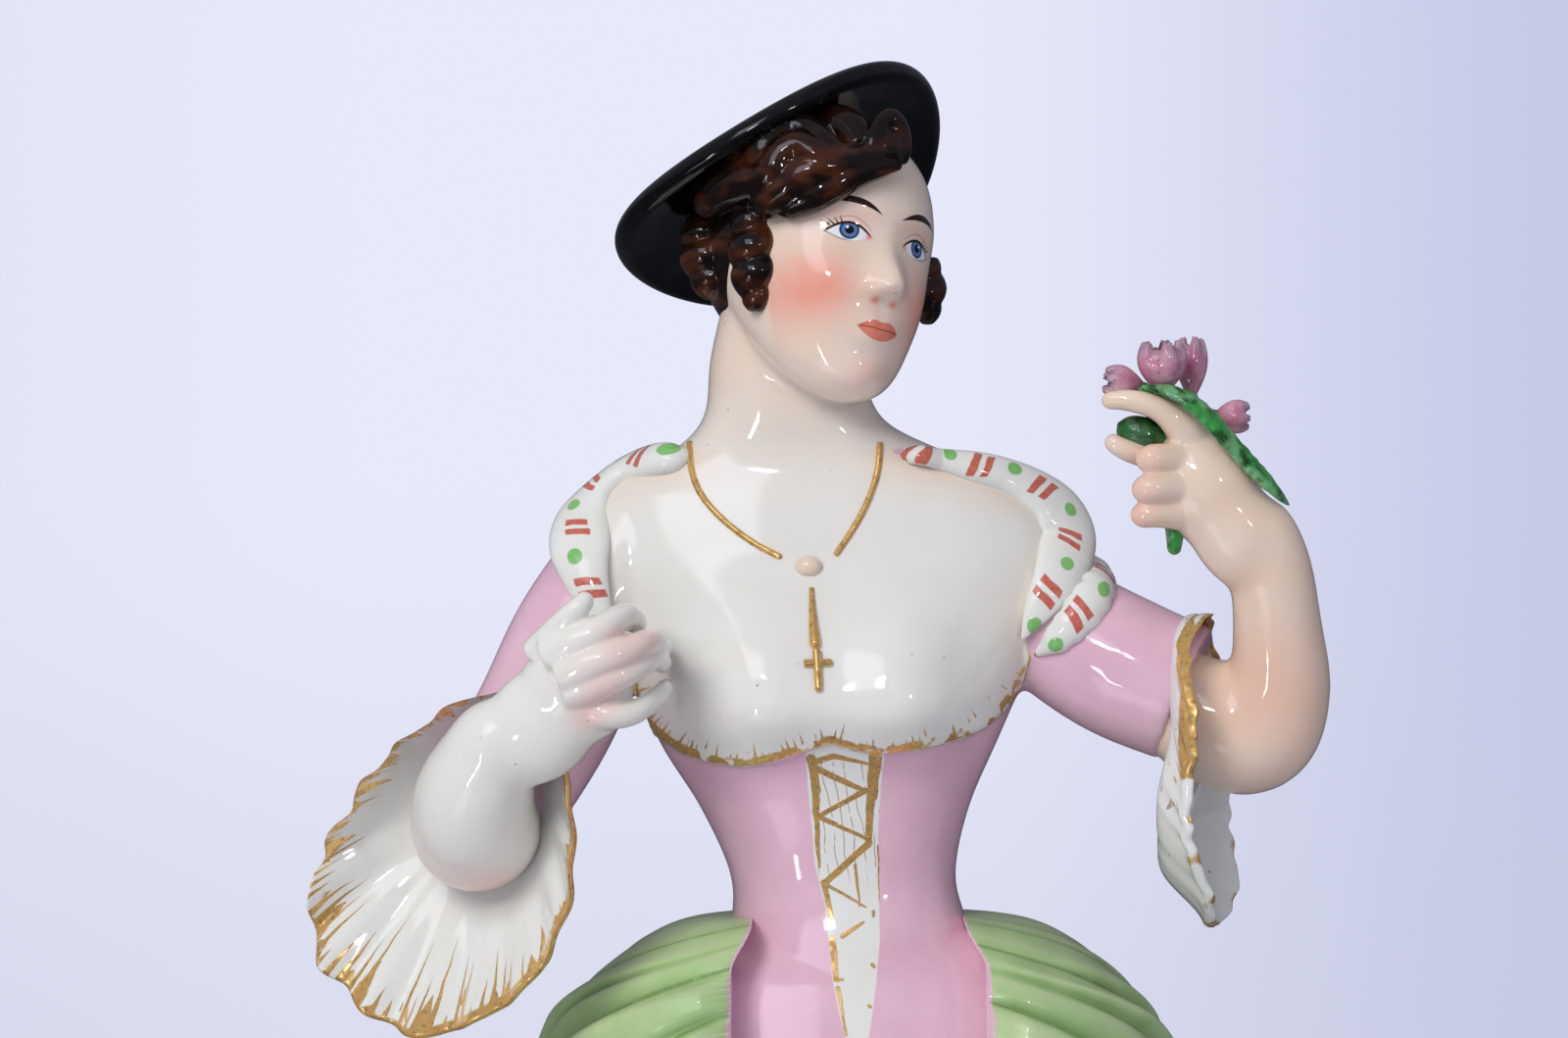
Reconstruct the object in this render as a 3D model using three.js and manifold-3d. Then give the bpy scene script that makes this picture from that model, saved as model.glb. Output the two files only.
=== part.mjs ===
// A porcelain lady in a laced bodice and draped skirt, one hand at her breast and a posy in the other.
// Millimetres, +Z up. She faces -Y, her left side is towards +X, and the origin is under her base's middle.
import * as THREE from "three";
import { ParametricGeometry } from "three/addons/geometries/ParametricGeometry.js";
import { mergeVertices } from "three/addons/utils/BufferGeometryUtils.js";
import Module from "manifold-3d";

const wasm = await Module();
wasm.setup();

// Driving dimensions
const waistZ = 176;
const waist = { x: 1.2, half: 13.6, front: 11.6, back: 11 };
const base = { halfX: 70, halfY: 60, height: 9 };
const hem = { half: 63, front: 52, back: 52, fadeLow: 14, fadeHigh: 30 };
const skirtHeight = waistZ - base.height + 1;
const dome = { sides: 0.34, front: 0.75 };
const folds = { around: 12, sweep: 2.18, sweepEnd: 0.076, depth: 2.2, cloth: 1.4 };
const opening = { half: 15.3, drawnIn: 2.5, spread: 0.12, from: 160 };
const bust = { centreX: -2, apart: 9.6, z: 202, reach: 5.4 };
const head = { turn: 35, lean: 12, lift: 8, centre: [-3.4, -2, 255.5] };
const hat = {
  radius: 22,
  thickness: 3,
  crownRadius: 12,
  crownHeight: 4,
  lift: 2.5,
  liftFrom: -0.11,
  centre: [-7.7, 5.5, 265],
  up: [-0.422, 0.451, 0.786],
};

// The body's cross-sections: height, middle in X and Y, half width, depth in front and behind
const bodySections = [
  [163, 1.2, 0, 16.2, 17.4, 13.5],
  [169, 0.8, 0, 15.6, 15.2, 12.8],
  [175, 0.2, 0, 14.4, 12.7, 12],
  [181, -0.6, 0, 13.8, 11.6, 11],
  [189, -1.6, 0, 16.4, 12.4, 12],
  [197, -2.4, 0, 20.6, 13.8, 13.5],
  [205, -2.2, 0, 24, 14.2, 14.5],
  [213, -2, 0.5, 28, 13.2, 14.5],
  [220, -2.2, 1, 30.4, 11.4, 13.5],
  [226, -2.7, 1.2, 28.4, 10, 11.8],
  [230, -3.4, 1.2, 23, 8.8, 10.4],
  [233, -5, 1, 16, 8.4, 9.4],
  [237, -6.8, 0.8, 10.8, 8.8, 9],
  [244, -7.4, 0.5, 9.4, 9, 8.8],
  [252, -6, 0, 9, 9, 8.8],
];

// The head's cross-sections in its own frame: height, middle in Y, half width, half depth
const headSections = [
  [-18.5, -7.4, 1.6, 1.6],
  [-17.4, -7.2, 4.4, 4.2],
  [-14.5, -5, 7.6, 7.6],
  [-10, -2.8, 10, 10.8],
  [-5, -1.2, 11.7, 13.2],
  [0, 0, 12.7, 14.6],
  [5, 0.5, 13, 15.2],
  [10, 0.9, 12.2, 14.2],
  [14, 1.2, 9.8, 11.4],
  [17, 1.4, 5.6, 6.6],
  [18.5, 1.4, 1, 1],
];

// Hair: rolls of waved hair, and ringlets from where they hang to where they end
const rolls = [
  {
    path: [[6.1, -12.8, 267.1], [0.6, -15.2, 265.5], [-4.3, -15.8, 263], [-8.2, -14.4, 260.6]],
    radii: [1, 1.7, 2.1, 1.5],
  },
  {
    path: [[4, -13, 268], [-1.7, -15.4, 266.4], [-7.1, -15.4, 264.1], [-10.6, -13, 261.2]],
    radii: [1.6, 2.3, 2.5, 2],
  },
  {
    path: [
      [0.6, -13.8, 267.7],
      [-3.3, -14.2, 268.9],
      [-6.8, -11.6, 271.4],
      [-10.2, -12.8, 268.5],
      [-11.8, -12.4, 266.4],
    ],
    radii: [1.6, 2.2, 2.3, 2.4, 2.4],
  },
  { path: [[-9.4, -14.4, 264.9], [-14.6, -10.6, 264.1], [-18, -6.4, 261.8]], radii: [2.4, 2.5, 1.5] },
  {
    path: [[2.8, -14, 267], [3.8, -12.4, 271.7], [5, -11.6, 272.6], [6.4, -11.6, 270.2], [6.1, -12.6, 266.9]],
    radii: [1.3, 1.2, 1.2, 1.2, 0.9],
  },
  { path: [[4, -3.4, 269.4], [6, 1, 265.4], [6.8, 4, 260.4], [6.4, 7, 255]], radii: [1.8, 2.2, 2.4, 2.2] },
  { path: [[-17.5, 2, 262], [-17, 7, 260], [-14, 12, 257], [-8, 15.5, 255]], radii: [2.6, 3, 3.2, 3] },
  { path: [[7, 8, 262], [4, 12, 259], [-1, 15.5, 256]], radii: [2.6, 3, 3] },
];
const ringlets = [
  { top: [-17.7, -2, 261.3], bottom: [-16.5, -3, 251], radius: 3.1 },
  { top: [-11.6, -10.5, 262.3], bottom: [-11.1, -12.5, 249.2], radius: 3 },
  { top: [9.7, 3.4, 256.5], bottom: [9.8, 2.6, 248.2], radius: 2.2 },
];
const ringletTurns = 3.5;

// Sleeves, arms and fingers: points on the middle line, and the radius at each
const limbs = {
  rightSleeve: {
    path: [[-26, 1, 221], [-32, -1, 211], [-37, -4, 200], [-43.4, -8, 189]],
    radii: [7.8, 8.6, 8.6, 8.2],
  },
  rightForearm: {
    path: [
      [-44.3, -7, 188],
      [-44.8, -14, 187.4],
      [-44.6, -18, 191.6],
      [-41.8, -21, 197.4],
      [-38, -22.8, 201],
    ],
    radii: [7.2, 7.9, 7.3, 6, 5.6],
  },
  leftSleeve: {
    path: [[17, 1, 217], [27, -1, 210], [34, -2.6, 206], [41, -4.2, 203]],
    radii: [7.8, 8.2, 8.8, 8.6],
  },
  leftForearm: {
    path: [
      [37, -4, 204],
      [48.2, -6, 198.1],
      [51.9, -8, 203.6],
      [51.6, -10.5, 212.5],
      [50.2, -12, 220],
      [46.6, -13, 226.4],
    ],
    radii: [6.2, 7.6, 6.9, 5.6, 5.1, 4.8],
  },
  rightThumb: {
    path: [[-37, -24.6, 208.2], [-34.4, -26.6, 211.4], [-32.2, -27.6, 213.6], [-30.5, -27, 215.4]],
    radii: [2.2, 1.8, 1.5, 1.1],
  },
  rightIndex: {
    path: [
      [-35.5, -26, 208.3],
      [-29.1, -27.6, 211.3],
      [-26.8, -25, 212.8],
      [-25.5, -21, 212.1],
      [-25.5, -13, 211.7],
    ],
    radii: [2.7, 1.8, 1.5, 1.3, 1.2],
  },
  rightMiddle: {
    path: [
      [-33.8, -27, 205.7],
      [-26.2, -28, 208.8],
      [-23.8, -25.4, 209.9],
      [-22.5, -21, 209.2],
      [-22.5, -12.5, 208.9],
    ],
    radii: [2.7, 1.7, 1.4, 1.2, 1.2],
  },
  rightRing: {
    path: [
      [-33.2, -26.5, 203.9],
      [-25.7, -27.2, 206.6],
      [-23.4, -24.6, 207.8],
      [-22.4, -20.5, 207.2],
      [-22.4, -12.5, 206.9],
    ],
    radii: [2.6, 1.6, 1.3, 1.2, 1.1],
  },
  rightLittle: {
    path: [
      [-32.1, -25, 201.8],
      [-25.7, -26.2, 201.4],
      [-23.7, -24.4, 202.7],
      [-22.1, -20.5, 204.1],
      [-21.9, -13, 204.2],
    ],
    radii: [2.5, 1.4, 1.2, 1.1, 1],
  },
  leftIndex: {
    path: [
      [42.1, -13, 232.2],
      [39.9, -15, 235.2],
      [36.9, -16, 237.6],
      [33.2, -16, 238.5],
      [30.2, -15.6, 238.4],
    ],
    radii: [3, 2.3, 1.6, 1.4, 1.1],
  },
  leftMiddle: { path: [[41, -14, 231.3], [36.5, -17, 231.5], [35, -16, 231.1]], radii: [2.6, 2, 1.8] },
  leftRing: { path: [[41, -14.5, 228.2], [36.2, -17.4, 227.9], [34.6, -16, 227.6]], radii: [2.6, 2, 1.8] },
  leftLittle: { path: [[41, -14, 225.1], [36, -16.6, 224.9], [34.3, -15.4, 224.6]], radii: [2.5, 1.8, 1.6] },
  leftThumb: {
    path: [[38.2, -12.6, 231.3], [34.3, -14.6, 232.2], [32.1, -15, 233.1], [31, -14.6, 234.2]],
    radii: [2.2, 1.5, 1.3, 1.1],
  },
};
// The heel and the palm of each hand, as ellipsoids
const palms = [
  { centre: [-36.5, -23, 200.1], halfSizes: [6.6, 4.5, 8], way: [0.62, 0, 0.78] },
  { centre: [-32.2, -24.6, 204.3], halfSizes: [7, 3.9, 6.8], way: [0.78, 0, 0.62] },
  { centre: [46.4, -13, 223], halfSizes: [5.6, 4.9, 8.6], way: [-0.5, 0, 0.86] },
  { centre: [42.8, -13.4, 228], halfSizes: [6.2, 4.8, 8], way: [-0.5, 0, 0.86] },
];

// A bell cuff runs from its throat, round the sleeve's end, to its fluted rim
const cuffs = {
  right: {
    throat: [-44, -8, 188.5],
    throatRadius: 7.4,
    rim: [-48.4, -17.5, 181.8],
    axis: [-0.42, -0.9, 0.05],
    up: [0.38, 0, 0.92],
    halfUp: 20.9,
    halfAcross: 16.6,
  },
  left: {
    throat: [40.6, -4, 202],
    throatRadius: 7.4,
    rim: [43.6, -6, 192.2],
    axis: [0.95, -0.25, 0.05],
    up: [-0.1, 0, 1],
    halfUp: 19,
    halfAcross: 13.5,
  },
};
const flutes = 7;
const fluteDepth = 1.3;
const cuffWall = 1.4;

// The rolled collar: points on its middle line, from the right breast round the neck to the left
const collarPath = [
  [-28.2, -10.2, 207],
  [-31.6, -9.9, 212.5],
  [-33.8, -6, 219.5],
  [-32, 0, 226.2],
  [-26.8, 4, 230.6],
  [-19, 8, 232.8],
  [-6, 11.8, 232.6],
  [5, 9.8, 232.9],
  [14.5, 6.4, 231.8],
  [22.6, 1, 228],
  [27.4, -2.8, 221.4],
  [25.2, -8.6, 214.5],
  [21, -10.8, 208.6],
];
// The second layer that shows under it on her left shoulder
const underPath = [
  [29, -2.4, 221],
  [31, -4, 217.6],
  [29.6, -6.4, 214.2],
  [26.6, -8.6, 210.4],
  [23.4, -10, 207.8],
];
const trunk = { centre: [-2.5, 0.5, 212], halfSizes: [30, 14, 22] };
const collar = { halfWidth: 3.5, halfThickness: 2.1 };
const underCollar = { halfWidth: 2.2, halfThickness: 1.6 };

// Tulips of the posy: foot, the way the cup opens, height and radius
const tulips = [
  { foot: [37.7, -14.5, 239.2], way: [-0.06, -0.1, 1], height: 6.2, radius: 3 },
  { foot: [41.3, -11, 238.6], way: [0, 0.2, 1], height: 7.4, radius: 2.1 },
  { foot: [35.5, -14, 240.3], way: [-1, -0.1, 0.12], height: 4.8, radius: 2.1 },
  { foot: [43.9, -12, 236.7], way: [1, 0.1, 0], height: 4.4, radius: 2.1 },
];
const posyHeart = [39.6, -12, 234.6];
const leaf = {
  path: [
    [34.8, -16.6, 240.1],
    [37.8, -17.4, 239.6],
    [43.3, -17.6, 235.9],
    [48.2, -16.6, 230.5],
    [52.8, -14.6, 225.8],
  ],
  halfWidth: 1.6,
  halfThickness: 0.8,
};
const heldGreen = { centre: [35, -13.6, 234.4], halfSizes: [2.2, 2, 3], way: [1, 0, -0.35] };
const stem = { path: [[39.3, -13, 227.7], [39, -13.6, 220]], radii: [1.6, 1.1] };

const { clamp, degToRad, lerp, smoothstep } = THREE.MathUtils;
const turn = 2 * Math.PI;
const vector = (xyz) => new THREE.Vector3(...xyz);
const upward = new THREE.Vector3(0, 0, 1);
const turnTo = (way) => new THREE.Quaternion().setFromUnitVectors(upward, vector(way).normalize());
const hump = (x, width) => Math.exp(-(x * x) / (2 * width * width));

// A smooth curve through the rows of a table, read at t from 0 to 1.
function rowAt(rows, t) {
  const x = clamp(t, 0, 1) * (rows.length - 1);
  const i = Math.min(Math.floor(x), rows.length - 2);
  const f = x - i;
  const row = (k) => rows[clamp(k, 0, rows.length - 1)];
  return rows[0].map((_, c) => {
    const [a, b, d, e] = [row(i - 1)[c], row(i)[c], row(i + 1)[c], row(i + 2)[c]];
    return b + 0.5 * f * (d - a + f * (2 * a - 5 * b + 4 * d - e + f * (3 * (b - d) + e - a)));
  });
}

// A closed geometry as a solid, with its shared vertices merged and its faces out.
function solidOf(geometry) {
  geometry.deleteAttribute("normal");
  geometry.deleteAttribute("uv");
  const merged = mergeVertices(geometry, 1e-4);
  const index = merged.index.array;
  const corners = [];
  for (let i = 0; i < index.length; i += 3) {
    const [a, b, c] = [index[i], index[i + 1], index[i + 2]];
    if (a !== b && b !== c && c !== a) corners.push(a, b, c);
  }
  const vertProperties = merged.attributes.position.array;
  const made = (triVerts) => new wasm.Manifold(new wasm.Mesh({ numProp: 3, vertProperties, triVerts }));
  const solid = made(new Uint32Array(corners));
  return solid.volume() > 0 ? solid : made(new Uint32Array(corners.reverse()));
}

// The solid inside a surface at(u, v) that closes on itself in u, and at both ends of v or round them.
function surface(at, around, along) {
  const sheet = (u, v, target) => target.copy(at(u % 1, v));
  return solidOf(new ParametricGeometry(sheet, around, along));
}

// A stack of rings, closed by flat ends: ring(angle, t) for t from 0 to 1, round middle(t).
function loft(middle, ring, around, along) {
  return surface(
    (u, v) => {
      const row = Math.round(v * (along + 2)) - 1;
      const t = clamp(row / along, 0, 1);
      return row < 0 || row > along ? middle(t) : ring(u * turn, t);
    },
    around,
    along + 2,
  );
}

// A round limb along a smooth path, with a rounded tip at its far end.
function limb({ path, radii }, around = 10, along = 7) {
  const curve = new THREE.CatmullRomCurve3(path.map(vector));
  const steps = 40;
  const { normals, binormals } = curve.computeFrenetFrames(steps);
  const cap = radii.at(-1) / curve.getLength();
  const place = (t) => Math.sin((t * Math.PI) / 2);
  const ring = (angle, t) => {
    const at = place(t);
    const frame = Math.round(at * steps);
    const tip = Math.max(0, (at - 1 + cap) / cap);
    const radius = rowAt(radii.map((r) => [r]), at)[0] * Math.sqrt(1 - tip * tip);
    return curve
      .getPointAt(at)
      .addScaledVector(normals[frame], radius * Math.cos(angle))
      .addScaledVector(binormals[frame], radius * Math.sin(angle));
  };
  return loft((t) => curve.getPointAt(place(t)), ring, around, along);
}

// An ellipsoid: half sizes along its own axes, the way its long axis points, and its centre.
function pebble({ centre, halfSizes, way }, around = 11, along = 7) {
  const place = new THREE.Matrix4().compose(vector(centre), turnTo(way), vector(halfSizes));
  const ball = new THREE.SphereGeometry(1, around, along).rotateX(Math.PI / 2);
  return solidOf(ball.applyMatrix4(place));
}

function body() {
  const squareness = 2 / 2.25;
  const side = (x) => Math.sign(x) * Math.abs(x) ** squareness;
  const middle = (t) => {
    const [z, x, y] = rowAt(bodySections, t);
    return new THREE.Vector3(x, y, z);
  };
  const ring = (angle, t) => {
    const [z, x, y, halfWidth, front, behind] = rowAt(bodySections, t);
    const depth = Math.sin(angle) < 0 ? front : behind;
    const across = x + halfWidth * side(Math.cos(angle));
    const facing = Math.max(0, -Math.sin(angle)) ** 0.7;
    return new THREE.Vector3(across, y + depth * side(Math.sin(angle)) - facing * bustRelief(across, z), z);
  };
  return loft(middle, ring, 24, 17);
}

// How far the bust stands out of the body at x across and z up: two soft mounds, fuller underneath.
function bustRelief(x, z) {
  const { centreX, apart, z: level, reach } = bust;
  const above = hump(z - level, z > level ? 9 : 4.2);
  return reach * above * (hump(x - centreX - apart, 6.6) + hump(x - centreX + apart, 6.6));
}

// How far the face stands out at x across and z up: brow, sockets, eyes, cheeks, nose, lips and chin.
function faceRelief(x, z) {
  const across = Math.abs(x);
  const nose = smoothstep(-z, -2.5, 6) * (1 - smoothstep(-z, 6.2, 7.6));
  const lips = hump(z + 10, 0.6) * hump(x, 2.2) + hump(z + 11.9, 0.7) * hump(x, 1.8);
  return (
    0.5 * hump(z - 3.6, 1.3) * hump(across - 5, 3) -
    1.2 * hump(z - 0.2, 1.9) * hump(across - 4.6, 2.4) +
    0.9 * hump(z - 0.1, 1.1) * hump(across - 5, 1.9) +
    0.7 * hump(z + 6.5, 3) * hump(across - 7, 3) +
    (0.7 + 2.5 * nose) * nose * hump(x, 1.2 + 0.6 * nose) +
    0.7 * hump(z + 10.6, 2.2) * hump(x, 3.2) +
    0.6 * lips -
    0.5 * hump(z + 13.4, 0.9) * hump(x, 2.2) +
    0.9 * hump(z + 16, 1.9) * hump(x, 2.6)
  );
}

// From the head's own frame, with the face towards -Y, to where she turns it.
function onHead(x, y, z) {
  return new THREE.Vector3(x, y, z)
    .applyAxisAngle(new THREE.Vector3(0, 1, 0), degToRad(head.lean))
    .applyAxisAngle(new THREE.Vector3(1, 0, 0), -degToRad(head.lift))
    .applyAxisAngle(new THREE.Vector3(0, 0, 1), degToRad(head.turn))
    .add(vector(head.centre));
}

function skull() {
  const middle = (t) => {
    const [z, y] = rowAt(headSections, t);
    return onHead(0, y, z);
  };
  const ring = (angle, t) => {
    const [z, y, halfWidth, halfDepth] = rowAt(headSections, t);
    const x = halfWidth * Math.cos(angle);
    const facing = Math.max(0, -Math.sin(angle)) ** 0.7;
    return onHead(x, y + halfDepth * Math.sin(angle) - facing * faceRelief(x, z), z);
  };
  return loft(middle, ring, 20, 17);
}

// Hair: a cap over the skull, rolls of waved hair on it, and ringlets at the temples.
function hair() {
  const cap = { centre: onHead(0, 3.2, 3.4).toArray(), halfSizes: [13.8, 13.8, 15.2], way: [0, 0, 1] };
  return [pebble(cap, 14, 8), ...rolls.map((roll) => limb(roll, 7, 6)), ...ringlets.map(ringlet)];
}

// A hanging ringlet: a tapered limb with a bulge that winds round it.
function ringlet({ top, bottom, radius }) {
  const axis = (t) => vector(top).lerp(vector(bottom), t);
  const ring = (angle, t) => {
    const taper = Math.sqrt(Math.sin(Math.PI * (0.12 + 0.86 * t)));
    const reach = radius * taper * (1 + 0.13 * Math.sin(ringletTurns * turn * t + angle));
    return axis(t).add(new THREE.Vector3(reach * Math.cos(angle), reach * Math.sin(angle), 0));
  };
  return loft(axis, ring, 7, 11);
}

// The hat: a wide brim with a rolled edge, turned up at two sides, and a low crown, tipped off the brow.
function tippedHat() {
  const { radius, thickness, crownRadius, crownHeight, lift, liftFrom } = hat;
  const half = thickness / 2;
  const outline = new THREE.Path()
    .moveTo(0, -half)
    .lineTo(radius - 3 * half, -half * 0.8)
    .absarc(radius - half, 0, half, -Math.PI / 2, Math.PI / 2)
    .lineTo(crownRadius + 1.5, half)
    .quadraticCurveTo(crownRadius, half, crownRadius - 0.5, half + crownHeight * 0.5)
    .quadraticCurveTo(crownRadius - 1, half + crownHeight, 0, half + crownHeight);
  const disc = new THREE.LatheGeometry(outline.getPoints(2), 28).rotateX(Math.PI / 2);
  const place = disc.attributes.position;
  for (let i = 0; i < place.count; i += 1) {
    const [x, y] = [place.getX(i), place.getY(i)];
    const reach = Math.hypot(x, y) / radius;
    place.setZ(i, place.getZ(i) + lift * reach ** 2 * Math.cos(2 * (Math.atan2(y, x) - liftFrom)));
  }
  const up = vector(hat.up).normalize();
  const aside = new THREE.Vector3(0, 1, 0).cross(up).normalize();
  const ahead = new THREE.Vector3().crossVectors(up, aside);
  const tipped = new THREE.Matrix4().makeBasis(aside, ahead, up).setPosition(...hat.centre);
  return solidOf(disc.applyMatrix4(tipped));
}

// A bell cuff with a thin fluted wall: out along its back, round the rim and in again along its face.
function cuff({ throat, throatRadius, rim, axis, up, halfUp, halfAcross }) {
  const ahead = vector(axis).normalize();
  const high = vector(up).addScaledVector(ahead, -vector(up).dot(ahead)).normalize();
  const aside = new THREE.Vector3().crossVectors(ahead, high);
  const wallAt = (angle, out, offset) => {
    const flute = out * out * Math.cos(flutes * angle);
    const reach = out ** 0.8;
    const tall = lerp(throatRadius, halfUp * (1 + 0.03 * flute), reach);
    const wide = lerp(throatRadius, halfAcross * (1 + 0.03 * flute), reach);
    const flare = out * out * (1 - 0.25 * out);
    return vector(throat)
      .lerp(vector(rim), lerp(flare, out, 0.5))
      .addScaledVector(high, tall * Math.cos(angle))
      .addScaledVector(aside, wide * Math.sin(angle))
      .addScaledVector(ahead, fluteDepth * flute + offset);
  };
  const throughWall = (u, v) => {
    const onFace = v > 0.5 && v < 1;
    return wallAt(u * turn, 1 - Math.abs(2 * v - 1), onFace ? cuffWall : 0);
  };
  return surface(throughWall, 4 * flutes, 6);
}

// The collar: flattened rolls that lie over the shoulders, one of them under the other on her left.
function rolledCollar() {
  const squared = vector(trunk.halfSizes).multiply(vector(trunk.halfSizes));
  const outward = (at) => at.clone().sub(vector(trunk.centre)).divide(squared);
  return [
    ribbon(collarPath, collar.halfWidth, collar.halfThickness, outward, 6, 19),
    ribbon(underPath, underCollar.halfWidth, underCollar.halfThickness, outward, 6, 7),
  ];
}

// A flattened roll along a path: wide across it, thin along outward(point), and drawn in at its ends.
function ribbon(path, halfWidth, halfThickness, outward, around, along) {
  const curve = new THREE.CatmullRomCurve3(path.map(vector));
  const ring = (angle, t) => {
    const at = curve.getPointAt(t);
    const ahead = curve.getTangentAt(t);
    const out = outward(at).addScaledVector(ahead, -outward(at).dot(ahead)).normalize();
    const across = new THREE.Vector3().crossVectors(ahead, out);
    const taper = Math.sqrt(clamp(Math.min(t, 1 - t) * 7 + 0.03, 0, 1));
    return at
      .addScaledVector(across, halfWidth * taper * Math.cos(angle))
      .addScaledVector(out, halfThickness * taper * Math.sin(angle));
  };
  return loft((t) => curve.getPointAt(t), ring, around, along);
}

// A tulip: a cup of six petals with a true wall, open at its mouth.
function tulip({ foot, way, height, radius }) {
  const petals = 6;
  const wall = 0.8;
  return surface(
    (u, v) => {
      const inside = v > 0.6;
      const up = inside ? (1 - v) / 0.4 : v / 0.6;
      const swell = Math.sin(Math.PI * (0.04 + 0.7 * up)) - (inside ? wall / radius : 0);
      const edge = 1 + 0.09 * Math.cos(petals * u * turn) * up;
      const out = up === 0 ? 0 : radius * swell * edge;
      const tip = 1 + 0.07 * Math.cos(petals * u * turn) * up * up;
      const high = (inside ? 0.25 + 0.75 * up : up) * height * tip;
      return new THREE.Vector3(out * Math.cos(u * turn), out * Math.sin(u * turn), high)
        .applyQuaternion(turnTo(way))
        .add(vector(foot));
    },
    12,
    5,
  );
}

function posy() {
  const outward = () => new THREE.Vector3(0.4, -0.5, 0.6);
  const blade = ribbon(leaf.path, leaf.halfWidth, leaf.halfThickness, outward, 8, 10);
  const heart = { centre: posyHeart, halfSizes: [2.2, 2.8, 4.6], way: [0.6, 0, 1] };
  const greens = [heart, heldGreen].map((form) => pebble(form, 10, 6));
  const stalks = tulips.map(({ foot, way }) => {
    const inCup = vector(foot).addScaledVector(vector(way).normalize(), 1.2).toArray();
    return limb({ path: [posyHeart, inCup], radii: [1.3, 1.3] }, 6, 3);
  });
  return [...tulips.map(tulip), ...stalks, blade, ...greens, limb(stem, 8, 4)];
}

function hands() {
  const fingers = Object.keys(limbs).filter((name) => !/Sleeve|Forearm/.test(name));
  return [...palms.map((form) => pebble(form)), ...fingers.map((name) => limb(limbs[name], 7, 5))];
}

// How far the open front of the overskirt stands from the middle, at a height.
function openingAt(z) {
  const { half, drawnIn, spread, from } = opening;
  return half - drawnIn * smoothstep(z, waistZ - 6, waistZ) + spread * Math.max(0, from - z);
}

// How far a fold has been drawn back at t down the skirt, where it lies at an angle from the front.
function drawnBack(fromFront, t) {
  const sweep = folds.sweep * (1 - Math.exp(-t / folds.sweepEnd));
  return sweep * (1 - smoothstep(fromFront, 1.2, Math.PI));
}

// The angle from the front at which a fold lies at t, found by halving.
function foldAngle(fold, t) {
  let [low, high] = [0, Math.PI];
  for (let step = 0; step < 24; step += 1) {
    const middle = (low + high) / 2;
    [low, high] = middle - drawnBack(middle, t) < fold ? [middle, high] : [low, middle];
  }
  return low;
}

// The skirt's columns in order: its plain front, then the folds of one side to the back, and of the other.
function skirtColumns() {
  const front = [-1, -0.75, -0.5, -0.25, 0, 0.25, 0.5, 0.75, 1].map((share) => ({ side: 1, share }));
  const pitch = turn / folds.around;
  const first = -Math.ceil(folds.sweep / pitch);
  const creases = [first * pitch];
  for (let k = first; k < folds.around / 2; k += 1) {
    creases.push(...[-1 / 6, 1 / 6, 1 / 2].map((share) => (k + share) * pitch));
  }
  const ordered = (side) => creases.map((fold) => ({ side, fold }));
  return [...front, ...ordered(1), { side: 1, fold: Math.PI }, ...ordered(-1).reverse()];
}

// One point of the skirt: a domed bell, open in front, where a plain panel lies under it.
function skirtPoint({ side, share, fold }, t) {
  const z = waistZ - skirtHeight * t;
  const spread = t ** dome.sides * (1 - 0.22 * (1 - t) * t);
  const half = lerp(waist.half, hem.half, spread);
  const edge = Math.asin(Math.min(1, openingAt(z) / half));
  const fromFront = fold === undefined ? share * edge : Math.max(edge, foldAngle(fold, t));
  const x = half * Math.sin(fromFront);
  if (fold === undefined) {
    const plainHalf = lerp(openingAt(z) + 5, hem.half, t);
    const rounded = (1 - Math.abs(x / plainHalf) ** 2.4) ** (1 / 2.4);
    return new THREE.Vector3(waist.x + x, -lerp(waist.front, hem.front, t ** dome.front) * rounded, z);
  }
  const forward = Math.max(0, Math.cos(fromFront));
  const flatter = 1 - 0.34 * forward * forward * (1 - t) ** 1.5;
  const [near, far] = fromFront < Math.PI / 2 ? [waist.front, hem.front] : [waist.back, hem.back];
  const bell = lerp(near, far, spread * flatter);
  const fade = smoothstep(t, 0.01, 0.08) * smoothstep(z, hem.fadeLow, hem.fadeHigh);
  const roundness = Math.abs(Math.cos(((fromFront - drawnBack(fromFront, t)) * folds.around) / 2));
  const relief = fade * (folds.cloth + folds.depth * roundness);
  const out = new THREE.Vector2(x, -bell * Math.cos(fromFront)).normalize().multiplyScalar(relief);
  const y = -bell * Math.cos(fromFront) + out.y;
  return new THREE.Vector3(waist.x + side * (x + out.x), y, z + 0.4 * relief * (1 - t));
}

function skirt() {
  const columns = skirtColumns();
  const rows = 9;
  const at = (u, v) => {
    const row = Math.round(v * (rows + 2)) - 1;
    const t = clamp(row / rows, 0, 1) ** 2.4;
    if (row < 0 || row > rows) return new THREE.Vector3(waist.x, 0, waistZ - skirtHeight * t);
    return skirtPoint(columns[Math.round(u * columns.length) % columns.length], t);
  };
  return surface(at, columns.length, rows + 2);
}

// The low oval base, with a moulded edge.
function plinth() {
  const { halfX, halfY, height } = base;
  const outline = new THREE.Path()
    .moveTo(0, 0)
    .lineTo(halfX - 1.5, 0)
    .quadraticCurveTo(halfX, 0, halfX, 1.5)
    .quadraticCurveTo(halfX, height * 0.45, halfX - 2.4, height * 0.5)
    .quadraticCurveTo(halfX - 2, height, halfX - 6, height)
    .lineTo(0, height);
  const disc = new THREE.LatheGeometry(outline.getPoints(1), 36).rotateX(Math.PI / 2);
  return solidOf(disc.scale(1, halfY / halfX, 1));
}

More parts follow.
